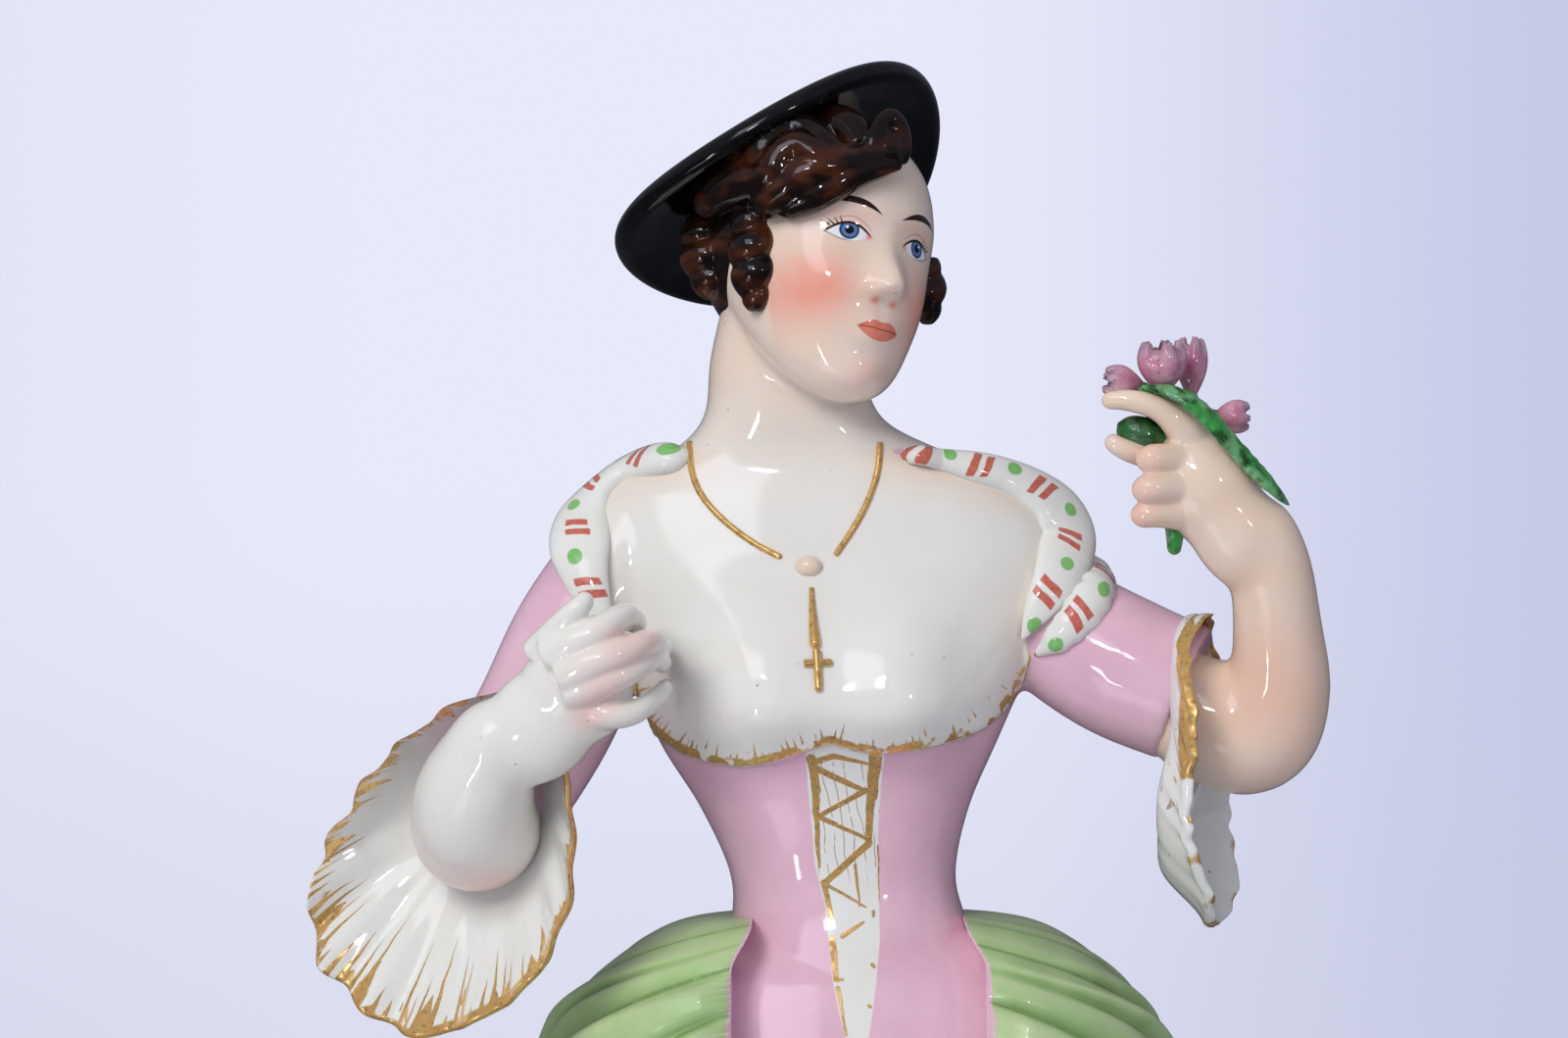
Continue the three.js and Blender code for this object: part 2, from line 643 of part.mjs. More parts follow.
// One cast piece: everything is joined into a single solid.
function figurine() {
  const armNames = ["rightSleeve", "leftSleeve", "rightForearm", "leftForearm"];
  const arms = armNames.map((name) => limb(limbs[name], 10, 7));
  const pieces = [
    body(),
    skull(),
    ...hair(),
    tippedHat(),
    ...arms,
    ...hands(),
    cuff(cuffs.right),
    cuff(cuffs.left),
    ...rolledCollar(),
    ...posy(),
    skirt(),
    plinth(),
  ];
  const joined = pieces.reduce((whole, piece) => whole.add(piece));
  const { numProp, vertProperties, triVerts } = joined.getMesh();
  const position = new THREE.BufferAttribute(new Float32Array(vertProperties), numProp);
  const geometry = new THREE.BufferGeometry().setAttribute("position", position);
  geometry.setIndex(new THREE.BufferAttribute(triVerts, 1));
  const glaze = new THREE.MeshStandardMaterial({ color: "#ece9e2", roughness: 0.12, metalness: 0 });
  const mesh = new THREE.Mesh(geometry, glaze);
  mesh.name = "figurine";
  return mesh;
}

const lady = new THREE.Group();
lady.add(figurine());

export default lady;
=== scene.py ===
import math
from functools import reduce

import bmesh
import bpy
import numpy as np
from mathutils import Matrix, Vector
from mathutils.bvhtree import BVHTree


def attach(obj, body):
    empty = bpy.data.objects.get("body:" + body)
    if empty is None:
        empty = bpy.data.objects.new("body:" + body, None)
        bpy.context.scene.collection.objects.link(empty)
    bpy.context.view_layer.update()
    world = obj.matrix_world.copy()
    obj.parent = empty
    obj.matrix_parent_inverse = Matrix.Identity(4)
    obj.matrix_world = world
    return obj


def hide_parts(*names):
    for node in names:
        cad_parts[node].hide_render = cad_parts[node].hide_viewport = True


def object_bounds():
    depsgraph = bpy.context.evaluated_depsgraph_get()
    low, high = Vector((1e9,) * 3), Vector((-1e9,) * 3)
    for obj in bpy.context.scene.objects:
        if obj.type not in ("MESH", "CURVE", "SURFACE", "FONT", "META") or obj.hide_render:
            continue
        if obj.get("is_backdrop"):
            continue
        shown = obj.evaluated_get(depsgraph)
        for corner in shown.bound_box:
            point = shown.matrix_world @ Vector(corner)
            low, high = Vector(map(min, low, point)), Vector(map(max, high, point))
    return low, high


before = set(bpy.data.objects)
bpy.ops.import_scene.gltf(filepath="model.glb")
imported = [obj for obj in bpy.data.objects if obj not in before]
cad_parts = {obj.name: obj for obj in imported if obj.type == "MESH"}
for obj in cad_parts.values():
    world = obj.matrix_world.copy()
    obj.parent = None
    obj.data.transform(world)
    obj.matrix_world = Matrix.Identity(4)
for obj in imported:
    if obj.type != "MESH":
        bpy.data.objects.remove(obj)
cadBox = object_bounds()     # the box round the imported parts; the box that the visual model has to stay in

mm = 0.001               # shapes are worked out in millimetres, +Z up, and she faces -Y
turn = 2 * math.pi
fineSteps = 800          # points that a smooth path is measured by
aheadStep = 0.004        # share of a path over which its direction is taken


# a bell curve: e to the power of -x squared over twice the width squared
def hump(x, width):
    return np.exp(-(x * x) / (2 * width * width))


# 0 below low, 1 above high, and 3t^2 - 2t^3 between them
def ease(x, low, high):
    t = np.clip((x - low) / (high - low), 0, 1)
    return t * t * (3 - 2 * t)


# a + (b - a) t
def blend(a, b, t):
    return a + (b - a) * t


# a vector over its own length
def unit(v):
    return v / np.maximum(np.linalg.norm(v, axis=-1, keepdims=True), 1e-9)


# the smooth curve through the rows of a table (Catmull-Rom), read at t from 0 to 1
def readRows(rows, t):
    rows = np.asarray(rows, float)
    x = np.clip(t, 0, 1) * (len(rows) - 1)
    i = np.minimum(np.floor(x).astype(int), len(rows) - 2)
    f = (x - i)[..., None]
    a, b, d, e = (rows[np.clip(i + k, 0, len(rows) - 1)] for k in (-1, 0, 1, 2))
    return b + 0.5 * f * (d - a + f * (2 * a - 5 * b + 4 * d - e + f * (3 * (b - d) + e - a)))


# how far along a line of points each of them lies: the sum of the steps up to it
def runOf(line):
    return np.concatenate([[0], np.cumsum(np.linalg.norm(np.diff(line, axis=0), axis=1))])


# even angles round a circle, as one row
def ringOf(count):
    return np.linspace(0, turn, count, endpoint=False)[None, :]


# even shares from 0 to 1, as one column
def sharesOf(count):
    return np.linspace(0, 1, count)[:, None]


# points and directions at the shares t of a smooth path's length, and that length
def alongPath(path, t):
    fine = readRows(path, np.linspace(0, 1, fineSteps))
    run = runOf(fine)
    place = lambda share: np.stack([np.interp(share * run[-1], run, fine[:, k]) for k in range(3)], -1)
    ahead = place(np.clip(t + aheadStep, 0, 1)) - place(np.clip(t - aheadStep, 0, 1))
    return place(t), unit(ahead), run[-1]


# distance from each point (x, z) to a line of points, and how far along it the nearest place is
def toLine(x, z, line):
    near, run, done = np.full(x.shape, 1e9), np.zeros(x.shape), 0
    for a, b in zip(line[:-1], line[1:]):
        way, length = b - a, np.linalg.norm(b - a)
        share = np.clip(((x - a[0]) * way[0] + (z - a[1]) * way[1]) / length ** 2, 0, 1)
        apart = np.hypot(x - a[0] - share * way[0], z - a[1] - share * way[1])
        closer = apart < near - 1e-9
        near, run = np.where(closer, apart, near), np.where(closer, done + share * length, run)
        done += length
    return near, run


# the photograph's camera, and how its pixels lie on the upright plane through the base's middle, in mm
viewPoint = np.array([-7.8, -700, 224.3])
photo = {"middleColumn": 865, "topHeight": 287.8, "pixel": 0.12}


# a column of the photograph as a place across, and a row as a height
def acrossAt(column):
    return (column - photo["middleColumn"]) * photo["pixel"]


def heightAt(row):
    return photo["topHeight"] - photo["pixel"] * row


# where a point shows on that plane, seen from the camera
def seenFromFront(points):
    k = -viewPoint[1] / (points[:, 1] - viewPoint[1])
    return viewPoint[0] + (points[:, 0] - viewPoint[0]) * k, viewPoint[2] + (points[:, 2] - viewPoint[2]) * k


# pixels of the photograph to millimetres on that plane
def fromPhoto(pixels):
    pixels = np.array(pixels, float)
    return np.stack([acrossAt(pixels[:, 0]), heightAt(pixels[:, 1])], -1)


# rows of a pixel and a depth in millimetres to the places there, along the ray from the same camera
def atDepth(rows):
    rows = np.array(rows, float)
    k = (rows[:, 2] - viewPoint[1]) / -viewPoint[1]
    x, z = (viewPoint[axis] + (flat - viewPoint[axis]) * k
            for axis, flat in ((0, acrossAt(rows[:, 0])), (2, heightAt(rows[:, 1]))))
    return np.stack([x, rows[:, 2], z], -1)


# a surface's points from its three coordinates, each spread over the whole grid
def surface(x, y, z):
    return np.stack(np.broadcast_arrays(x, y, z), -1)


# a shape is its points and faces; rings that close on themselves get a pole at each end
def closedGrid(rings, first=None, last=None):
    rows, columns = rings.shape[:2]
    first = rings[0].mean(0) if first is None else first
    last = rings[-1].mean(0) if last is None else last
    index = np.arange(rows * columns).reshape(rows, columns)
    beside = np.roll(index, -1, axis=1)
    quads = np.stack([index[:-1], beside[:-1], beside[1:], index[1:]], -1).reshape(-1, 4)
    poles = [np.full(columns, rows * columns), np.full(columns, rows * columns + 1)]
    fans = [np.stack([poles[0], beside[0], index[0]], -1), np.stack([poles[1], index[-1], beside[-1]], -1)]
    return facedOut({"points": np.concatenate([rings.reshape(-1, 3), [first, last]]), "quads": quads,
                     "fans": np.concatenate(fans)})


# the faces are turned round where the volume that they enclose is negative
def facedOut(shape):
    p = shape["points"]
    triangles = np.concatenate([shape["quads"][:, [0, 1, 2]], shape["quads"][:, [0, 2, 3]], shape["fans"]])
    a, b, c = p[triangles[:, 0]], p[triangles[:, 1]], p[triangles[:, 2]]
    if np.einsum("ij,ij->", a, np.cross(b, c)) < 0:
        shape["quads"], shape["fans"] = shape["quads"][:, ::-1], shape["fans"][:, ::-1]
    return shape


# several shapes as one, each one's faces counted on from the points before it
def together(shapes):
    starts = np.cumsum([0] + [len(s["points"]) for s in shapes])
    whole = {kind: np.concatenate([s[kind] + k for s, k in zip(shapes, starts)])
             for kind in ("quads", "fans")}
    return {"points": np.concatenate([s["points"] for s in shapes]), **whole}


# a mesh object from a shape, with named numbers on its points
def pieceFrom(name, shape, marks=None):
    mesh = bpy.data.meshes.new(name)
    mesh.from_pydata((shape["points"] * mm).tolist(), [], shape["quads"].tolist() + shape["fans"].tolist())
    piece = bpy.data.objects.new(name, mesh)
    bpy.context.scene.collection.objects.link(piece)
    markPoints(piece, marks or {})
    body = bmesh.new()
    body.from_mesh(mesh)
    bmesh.ops.remove_doubles(body, verts=body.verts, dist=2e-6)
    body.to_mesh(mesh)
    body.free()
    mesh.validate()
    mesh.shade_smooth()
    return piece


# named numbers, or named directions, on the points of a piece
def markPoints(piece, marks):
    for key, values in marks.items():
        values = np.asarray(values, float)
        kind = "FLOAT_VECTOR" if values.ndim == 2 else "FLOAT"
        mark = piece.data.attributes.new(key, kind, "POINT")
        mark.data.foreach_set("vector" if kind == "FLOAT_VECTOR" else "value", values.ravel())


# one row of three numbers for each point of a piece
def readPoints(piece, what):
    values = np.empty(len(piece.data.vertices) * 3)
    piece.data.vertices.foreach_get(what, values)
    return values.reshape(-1, 3)


def pointsOf(piece):
    return readPoints(piece, "co") / mm


def movePoints(piece, points):
    piece.data.vertices.foreach_set("co", (points * mm).ravel())
    piece.data.update()


# the modifiers are worked out once and their result becomes the mesh
def settle(piece):
    made = piece.evaluated_get(bpy.context.evaluated_depsgraph_get())
    mesh = bpy.data.meshes.new_from_object(made)
    piece.modifiers.clear()
    piece.data = mesh
    mesh.shade_smooth()


# shapes that run into each other become one skin of even small faces, softened as glaze softens clay
def fired(name, shapes, grain, passes):
    piece = pieceFrom(name, together(shapes))
    melt = piece.modifiers.new("melt", "REMESH")
    melt.mode = "VOXEL"
    melt.voxel_size = grain * mm
    soften = piece.modifiers.new("soften", "SMOOTH")
    soften.factor = 0.5
    soften.iterations = passes
    settle(piece)
    return piece


# a round limb along a smooth path: circles across it, with a rounded far tip, radius times sqrt(1 - tip^2)
def limb(path, radii, around=40, along=80, roundTip=True):
    path, radii = np.asarray(path, float), np.asarray(radii, float)
    t = np.sin(np.linspace(0, 1, along) * math.pi / 2)
    middle, ahead, length = alongPath(path, t)
    flat = np.linalg.svd(path - path.mean(0))[2][-1]
    across = unit(np.cross(ahead, flat))
    out = np.cross(across, ahead)
    cap = radii[-1] / length
    tip = np.clip((t - 1 + cap) / cap, 0, 1) * roundTip
    radius = readRows(radii[:, None], t)[:, 0] * np.sqrt(np.maximum(1 - tip ** 2, 1e-6))
    angle = ringOf(around)[..., None]
    circle = np.cos(angle) * across[:, None] + np.sin(angle) * out[:, None]
    return closedGrid(middle[:, None] + radius[:, None, None] * circle, middle[0], middle[-1])


# the turn that carries +Z to a way, as a matrix for rows of points
def turnedTo(way):
    return np.array(Vector((0, 0, 1)).rotation_difference(Vector(way)).to_matrix()).T


# an ellipsoid: centre, half sizes along its own axes, and the way its third axis points
def pebble(centre, halfSizes, way, around=48, along=40):
    angle = ringOf(around)
    fall = 0.02 + (math.pi - 0.04) * sharesOf(along)      # from just beside one pole to just beside the other
    ball = surface(np.sin(fall) * np.cos(angle), np.sin(fall) * np.sin(angle), np.cos(fall))
    return closedGrid((ball * halfSizes) @ turnedTo(way) + centre)


# shader maths: a socket with Python's operators, and one way to add any other node
class Paint:
    def __init__(self, graph, socket):
        self.graph, self.socket = graph, socket

    def __add__(self, other):
        return self.graph.maths("ADD", self, other)

    def __sub__(self, other):
        return self.graph.maths("SUBTRACT", self, other)

    def __rsub__(self, other):
        return self.graph.maths("SUBTRACT", other, self)

    def __mul__(self, other):
        return self.graph.maths("MULTIPLY", self, other)

    def __truediv__(self, other):
        return self.graph.maths("DIVIDE", self, other)

    def __neg__(self):
        return self.graph.maths("MULTIPLY", self, -1.0)

    def __abs__(self):
        return self.graph.maths("ABSOLUTE", self)

    __radd__, __rmul__ = __add__, __mul__


class Graph:
    def __init__(self, name, holder=None):
        self.material = holder or bpy.data.materials.new(name)
        self.material.use_nodes = True
        self.tree = self.material.node_tree
        self.tree.nodes.clear()

    # a node of any type: its settings first, then the values or links of its sockets
    def node(self, kind, settings=None, sockets=None, output=0):
        made = self.tree.nodes.new(kind)
        for key, value in (settings or {}).items():
            setattr(made, key, value)
        for key, value in (sockets or {}).items():
            if isinstance(value, Paint):
                self.tree.links.new(value.socket, made.inputs[key])
            else:
                made.inputs[key].default_value = value
        return Paint(self, made.outputs[output]) if made.outputs else None

    def maths(self, operation, *values):
        return self.node("ShaderNodeMath", {"operation": operation}, dict(enumerate(values)))

    def mix(self, share, first, second):
        return self.node("ShaderNodeMix", {"data_type": "RGBA"}, {0: share, 6: first, 7: second}, 2)

    def mark(self, key):
        return self.node("ShaderNodeAttribute", {"attribute_name": key}, {}, 2)

    def place(self):
        return self.node("ShaderNodeTexCoord", {}, {}, 3)

    # how high a place stands, in millimetres
    def height(self):
        return self.node("ShaderNodeSeparateXYZ", {}, {0: self.place()}, 2) / mm

    # how far a place is from a fixed one, in millimetres
    def fromPoint(self, point):
        return self.node("ShaderNodeVectorMath", {"operation": "DISTANCE"},
                         {0: self.place(), 1: tuple(np.array(point) * mm)}, 1) / mm

    # the root of x squared plus z squared
    def length(self, x, z):
        return self.maths("SQRT", x * x + z * z)

    # noise of the given size in millimetres, about 0 to 1
    def noise(self, size, detail=2.0, where=None):
        return self.node("ShaderNodeTexNoise", {}, {"Vector": where or self.place(), "Scale": 1 / (size * mm),
                                                    "Detail": detail})

    # 1 where x is above the level, softened over the given width
    def above(self, x, level, width, low=0.0, high=1.0):
        return self.node("ShaderNodeMapRange", {"interpolation_type": "SMOOTHSTEP"},
                         {0: x, 1: level - width / 2, 2: level + width / 2, 3: low, 4: high})

    def below(self, x, level, width):
        return self.above(x, level, width, 1.0, 0.0)

    # 1 in the patches where noise of a size and detail rises above a level
    def patches(self, size, detail, level, width):
        return self.above(self.noise(size, detail), level, width)

    # e to the power of -x squared over twice the width squared
    def bell(self, x, width):
        return self.maths("EXPONENT", x * x * (-0.5 / width ** 2))

    def both(self, *masks):
        return reduce(lambda first, second: first * second, masks)

    def either(self, *masks):
        return reduce(lambda first, second: self.maths("MAXIMUM", first, second), masks)


# a colour of the usual kind, as the light that it stands for
def shade(code):
    parts = [int(code[i:i + 2], 16) / 255 for i in (1, 3, 5)]
    return tuple(c / 12.92 if c <= 0.04045 else ((c + 0.055) / 1.055) ** 2.4 for c in parts) + (1.0,)


colours = {
    "glaze": "#e4e7e3", "glazeWarm": "#dfdcd1", "skin": "#e6cab0", "blush": "#e8836b",
    # the skirt's deep green also darkens its grooves as painted shade, its crease colour is painted shade
    # along their bottoms, and its crest colour is a painted highlight on the ridge tops
    "pink": "#e4bccb", "pinkDeep": "#d0a1b4", "green": "#b7cf94", "greenDeepAndShade": "#8cb070", "paintedCreaseShade": "#6c8a4c",
    "paintedSheen": "#bccaa2", "gold": "#f0c67c", "goldWorn": "#cb9c57", "goldDark": "#a07338", "stroke": "#d24a1c",
    "dot": "#62b545", "hair": "#120a07", "hairLight": "#532a15", "black": "#060607", "grime": "#6a5644",
    "petal": "#cb9cab", "petalDeep": "#b46f88", "petalEdge": "#8f8790", "leaf": "#3d9446",
    "leafDeep": "#12401c", "leafPale": "#86bf8c", "brow": "#2c130a", "iris": "#587ba8", "pupil": "#0b0b12",
    "eyeWhite": "#e6e8ea", "lip": "#d8684e",
}
tints = {name: shade(code) for name, code in colours.items()}
gildedFinish = {"roughness": 0.24, "wornRoughness": 0.15, "metal": 0.62, "wear": 0.35, "rise": 0.25}
glazeFinish = {"roughness": 0.07, "ripple": 0.00018, "rippleSize": 7.0, "coat": 0.25, "coatRoughness": 0.02,
               "bending": 1.5, "dull": 0.12}


# bare white glaze, a little warmer in clouds of the given size
def whiteGlaze(graph, size):
    return graph.mix(graph.noise(size), tints["glaze"], tints["glazeWarm"])


# the glaze over everything: paint under it, gold on it, and a slow ripple that bends its reflections
def glazed(graph, paint, gold=None, relief=None, roughness=None, rippleScale=1.0):
    finish, gilding = glazeFinish, gildedFinish
    rough = roughness or finish["roughness"]
    height = (graph.noise(finish["rippleSize"], 1.0) + graph.noise(1.3, 2.0) * 0.03) * rippleScale
    if relief is not None:
        height = height + relief
    roughest = graph.patches(0.5, 2.0, 0.72, 0.1) * finish["dull"] + rough
    metal = 0.0
    if gold is not None:
        worn = graph.patches(1.1, 3.0, 0.55, 0.12)
        gilt = graph.mix(worn, tints["gold"], tints["goldWorn"])
        gilt = graph.mix(graph.patches(0.6, 2.0, 0.62, 0.15) * 0.6, gilt, tints["goldDark"])
        paint = graph.mix(gold, paint, gilt)
        height = height + gold * gilding["rise"]
        metal = gold * (gilding["metal"] - worn * gilding["wear"])
        roughest = roughest + gold * (gilding["roughness"] + worn * gilding["wornRoughness"] - rough)
    bump = graph.node("ShaderNodeBump", {}, {"Strength": 1.0, "Distance": finish["ripple"], "Height": height})
    shader = graph.node("ShaderNodeBsdfPrincipled", {}, {
        "Base Color": paint, "Roughness": roughest, "Metallic": metal, "Normal": bump,
        "Coat Weight": finish["coat"], "Coat Roughness": finish["coatRoughness"], "IOR": finish["bending"]})
    graph.node("ShaderNodeOutputMaterial", {}, {"Surface": shader})
    return graph.material


# a row of hand-laid strokes that stand on a line: run is the place along it, rise the distance from it, in mm
def strokes(graph, run, rise, pitch, shortest, longest, fullness=1.0, seed=0.0):
    beat = run / pitch + graph.noise(4.0, 1.0) * 0.4 + seed
    cell = graph.maths("FLOOR", beat)
    chance = graph.node("ShaderNodeTexWhiteNoise", {"noise_dimensions": "1D"}, {"W": cell}, 0)
    other = graph.node("ShaderNodeTexWhiteNoise", {"noise_dimensions": "1D"}, {"W": cell + 71.3}, 0)
    length = chance * (longest - shortest) + shortest
    offset = abs(beat - cell - 0.5 + (other - 0.5) * 0.3)
    narrowing = (1 - rise / length) * 0.42 * fullness
    return graph.above(narrowing - offset, 0.0, 0.12)


print("helpers ready")

# the body's cross-sections: height, middle in X and Y, half width, depth in front and behind
torso = {
    "sections": [[163, 1.2, 0, 16.2, 17.4, 13.5], [169, 0.8, 0, 15.6, 15.2, 12.8],
                 [175, 0.2, 0, 14.4, 12.7, 12], [181, -0.6, 0, 13.8, 11.6, 11],
                 [189, -1.6, 0, 16.4, 12.4, 12], [197, -2.4, 0, 20.6, 13.8, 13.5],
                 [205, -2.2, 0, 24, 14.2, 14.5], [213, -2, 0.5, 28, 13.2, 14.5],
                 [220, -2.2, 1, 30.4, 11.4, 13.5], [226, -2.7, 1.2, 28.4, 10, 11.8],
                 [230, -3.4, 1.2, 23, 8.8, 10.4], [233, -5, 1, 16, 8.4, 9.4], [237, -6.8, 0.8, 10.8, 8.8, 9],
                 [244, -7.4, 0.5, 9.4, 9, 8.8], [252, -6, 0, 9, 9, 8.8]],
    "squareness": 2 / 2.25, "bustMiddle": -2.0, "bustApart": 9.6, "bustHeight": 202.0, "bustReach": 5.4,
    "grain": 0.54, "softening": 7, "ledge": 0.55,
}
head = {
    "turn": 35, "lean": 12, "lift": 8, "centre": [-3.4, -2, 255.5],
    # in the head's own frame, face towards -Y: height, middle in Y, half width, half depth
    "sections": [[-18.5, -7.4, 1.6, 1.6], [-17.4, -7.2, 4.4, 4.2], [-14.5, -5, 7.6, 7.6],
                 [-10, -2.8, 10, 10.8], [-5, -1.2, 11.7, 13.2], [0, 0, 12.7, 14.6], [5, 0.5, 13, 15.2],
                 [10, 0.9, 12.2, 14.2], [14, 1.2, 9.8, 11.4], [17, 1.4, 5.6, 6.6], [18.5, 1.4, 1, 1]],
}
waistHeight = 176
skirtForm = {
    "middle": 1.2, "half": 13.6, "front": 11.6, "back": 11.0, "hemHalf": 63.0, "hemFront": 52.0,
    "hemBack": 52.0, "height": 168.0, "domeSides": 0.34, "domeFront": 0.75, "folds": 15, "sweep": 2.18,
    "sweepEnd": 0.076, "depth": 4.0, "cloth": -0.7, "ridgePower": 0.6, "edgeRound": 2.4, "edgeRise": 0.12,
    "rows": 196, "perFold": 16, "narrowing": 0.22, "flatFront": 0.34, "frontPower": 2.4, "hemFade": (14, 30),
    "frontColumns": 41, "openHalf": 15.3, "openDrawnIn": 2.5, "openSpread": 0.12, "openFrom": 160,
}


# sign(x) |x|^power, which squares off a circle
def squared(x, power):
    return np.sign(x) * np.abs(x) ** power


# the head's turn, lean and lift as one matrix: places are (x, y, z) @ matrix.T + centre
def headSpin():
    a, b, c = (math.radians(v) for v in (head["lean"], -head["lift"], head["turn"]))
    lean = np.array([[math.cos(a), 0, math.sin(a)], [0, 1, 0], [-math.sin(a), 0, math.cos(a)]])
    lift = np.array([[1, 0, 0], [0, math.cos(b), -math.sin(b)], [0, math.sin(b), math.cos(b)]])
    aside = np.array([[math.cos(c), -math.sin(c), 0], [math.sin(c), math.cos(c), 0], [0, 0, 1]])
    return aside @ lift @ lean


# from the head's own frame to the figure's, and back again
def onHead(points):
    return np.asarray(points, float) @ headSpin().T + head["centre"]


def inHead(points):
    return (points - head["centre"]) @ headSpin()


# two soft mounds, fuller underneath: reach times bells in z and in x
def bustRelief(x, z):
    t = torso
    above = hump(z - t["bustHeight"], np.where(z > t["bustHeight"], 9, 4.2))
    return t["bustReach"] * above * (hump(x - t["bustMiddle"] - t["bustApart"], 6.6)
                                     + hump(x - t["bustMiddle"] + t["bustApart"], 6.6))


# 1 where an angle of a ring looks to the front, falling to 0 at the sides: (-sin a)^0.7
def facingFront(angle):
    return np.maximum(0, -np.sin(angle)) ** 0.7


# squared-off ovals up the body, x = half width cos a and y = depth sin a, with the bust pushed forward
def bodyShape():
    angle = ringOf(220)
    z, x, y, half, front, behind = (readRows(torso["sections"], np.linspace(0, 1, 260))[:, None, k]
                                    for k in range(6))
    across = x + half * squared(np.cos(angle), torso["squareness"])
    depth = np.where(np.sin(angle) < 0, front, behind)
    deep = y + depth * squared(np.sin(angle), torso["squareness"])
    deep = deep - facingFront(angle) * bustRelief(across, z)
    return closedGrid(surface(across, deep, z))


# the plain front of the skirt, which runs up into the bodice: a squared-off oval, deeper further down
def apronShape():
    angle = ringOf(160)
    z = blend(139, 175, sharesOf(80))
    half = np.minimum(plainHalf(z) - 0.3, 11.6 + 1.9 * (175 - z))
    depth = plainDepth(z) - 1.6 * ease(z, 168, 175)
    power = 2 / skirtForm["frontPower"]
    across = skirtForm["middle"] + half * squared(np.cos(angle), power)
    deep = np.where(np.sin(angle) < 0, depth * squared(np.sin(angle), power), 4 * np.sin(angle))
    return closedGrid(surface(across, deep, z))


# the share of the way down the skirt at a height
def downSkirt(z):
    return np.clip((waistHeight - z) / skirtForm["height"], 0, 1)


# half the opening between the folds at a height, drawn in at the waist and spreading below
def openingAt(z):
    f = skirtForm
    drawn = f["openHalf"] - f["openDrawnIn"] * ease(z, waistHeight - 6, waistHeight)
    return drawn + f["openSpread"] * np.maximum(0, f["openFrom"] - z)


# half width and depth of the plain front under the opening
def plainHalf(z):
    return blend(openingAt(z) + 5 - 4.3 * ease(z, 165, 176), skirtForm["hemHalf"], downSkirt(z))


def plainDepth(z):
    return blend(skirtForm["front"], skirtForm["hemFront"], downSkirt(z) ** skirtForm["domeFront"])


# brow, sockets, eyes, cheeks, nose, lips and chin as sums of bell curves in x across and z up
def faceRelief(x, z):
    across = np.abs(x)
    nose = ease(-z, -2.5, 6) * (1 - ease(-z, 6.2, 7.6))
    lips = (hump(z + 10.2, 0.55) * hump(x, 2.1) * (1 - 0.35 * hump(x, 0.45))
            + hump(z + 11.7, 0.65) * hump(x, 1.7))
    wings = hump(z + 6.1, 0.75) * hump(across - 1.65, 0.6)
    lids = hump(z - 1.35 + 0.12 * (across - 5) ** 2, 0.3) * hump(across - 5, 1.8)
    return (0.5 * hump(z - 3.6, 1.3) * hump(across - 5, 3)
            - 1.2 * hump(z - 0.2, 1.9) * hump(across - 4.6, 2.4)
            + 0.9 * hump(z - 0.1, 1.1) * hump(across - 5, 1.9) + 0.16 * lids
            + 0.7 * hump(z + 6.5, 3) * hump(across - 7, 3)
            + (0.7 + 2.5 * nose) * nose * hump(x, 1.1 + 0.5 * nose) + 0.55 * wings
            + 0.7 * hump(z + 10.6, 2.2) * hump(x, 3.2) + 0.6 * lips
            - 0.22 * hump(z + 8.7, 0.7) * hump(x, 0.35) - 0.3 * hump(z + 10.95, 0.22) * hump(x, 2)
            - 0.5 * hump(z + 13.4, 0.9) * hump(x, 2.2) + 0.9 * hump(z + 16, 1.9) * hump(x, 2.6))


# ovals up the head, in its own frame, with the face's relief modelled on them
def skullShape():
    angle = ringOf(200)
    z, y, half, deep = (readRows(head["sections"], np.linspace(0, 1, 220))[:, None, k] for k in range(4))
    x = half * np.cos(angle)
    rings = surface(x, y + deep * np.sin(angle) - facingFront(angle) * faceRelief(x, z), z)
    return closedGrid(onHead(rings))


# the gilded neckline and the edges of the laced panel, as they show on the photograph
necklinePixels = [(640, 690), (652, 728), (668, 748), (700, 769), (730, 778), (760, 781), (790, 776),
                  (820, 766), (845, 758), (862, 762), (880, 766), (910, 768), (940, 763), (960, 758),
                  (985, 751), (1005, 741), (1022, 726), (1036, 708), (1046, 690), (1052, 670)]
shoulderPixels = [(1046, 648), (1056, 624), (1080, 590), (1090, 544), (1080, 512), (1053, 496), (1018, 484),
                  (978, 478), (940, 470), (912, 462), (895, 420), (705, 420), (690, 462), (645, 472),
                  (603, 496), (583, 530), (590, 558), (598, 592), (608, 627), (622, 664)]
panelRows = [[765, 822, 903], [800, 824, 899], [850, 829, 896], [880, 831, 896], [923, 842, 897],
             [957, 845, 898], [1003, 850, 894], [1037, 857, 890], [1062, 864, 886], [1078, 873, 879],
             [1090, 876, 876.4]]

# heights of the neckline behind, of the bare neck and of the panel's top, and marks that lie past all paint
gown = {"backFrom": 2, "backNeckline": 229.5, "allBareFrom": 233, "panelTop": 197.5, "wellInside": 8.0,
        "offPanel": 9.0}


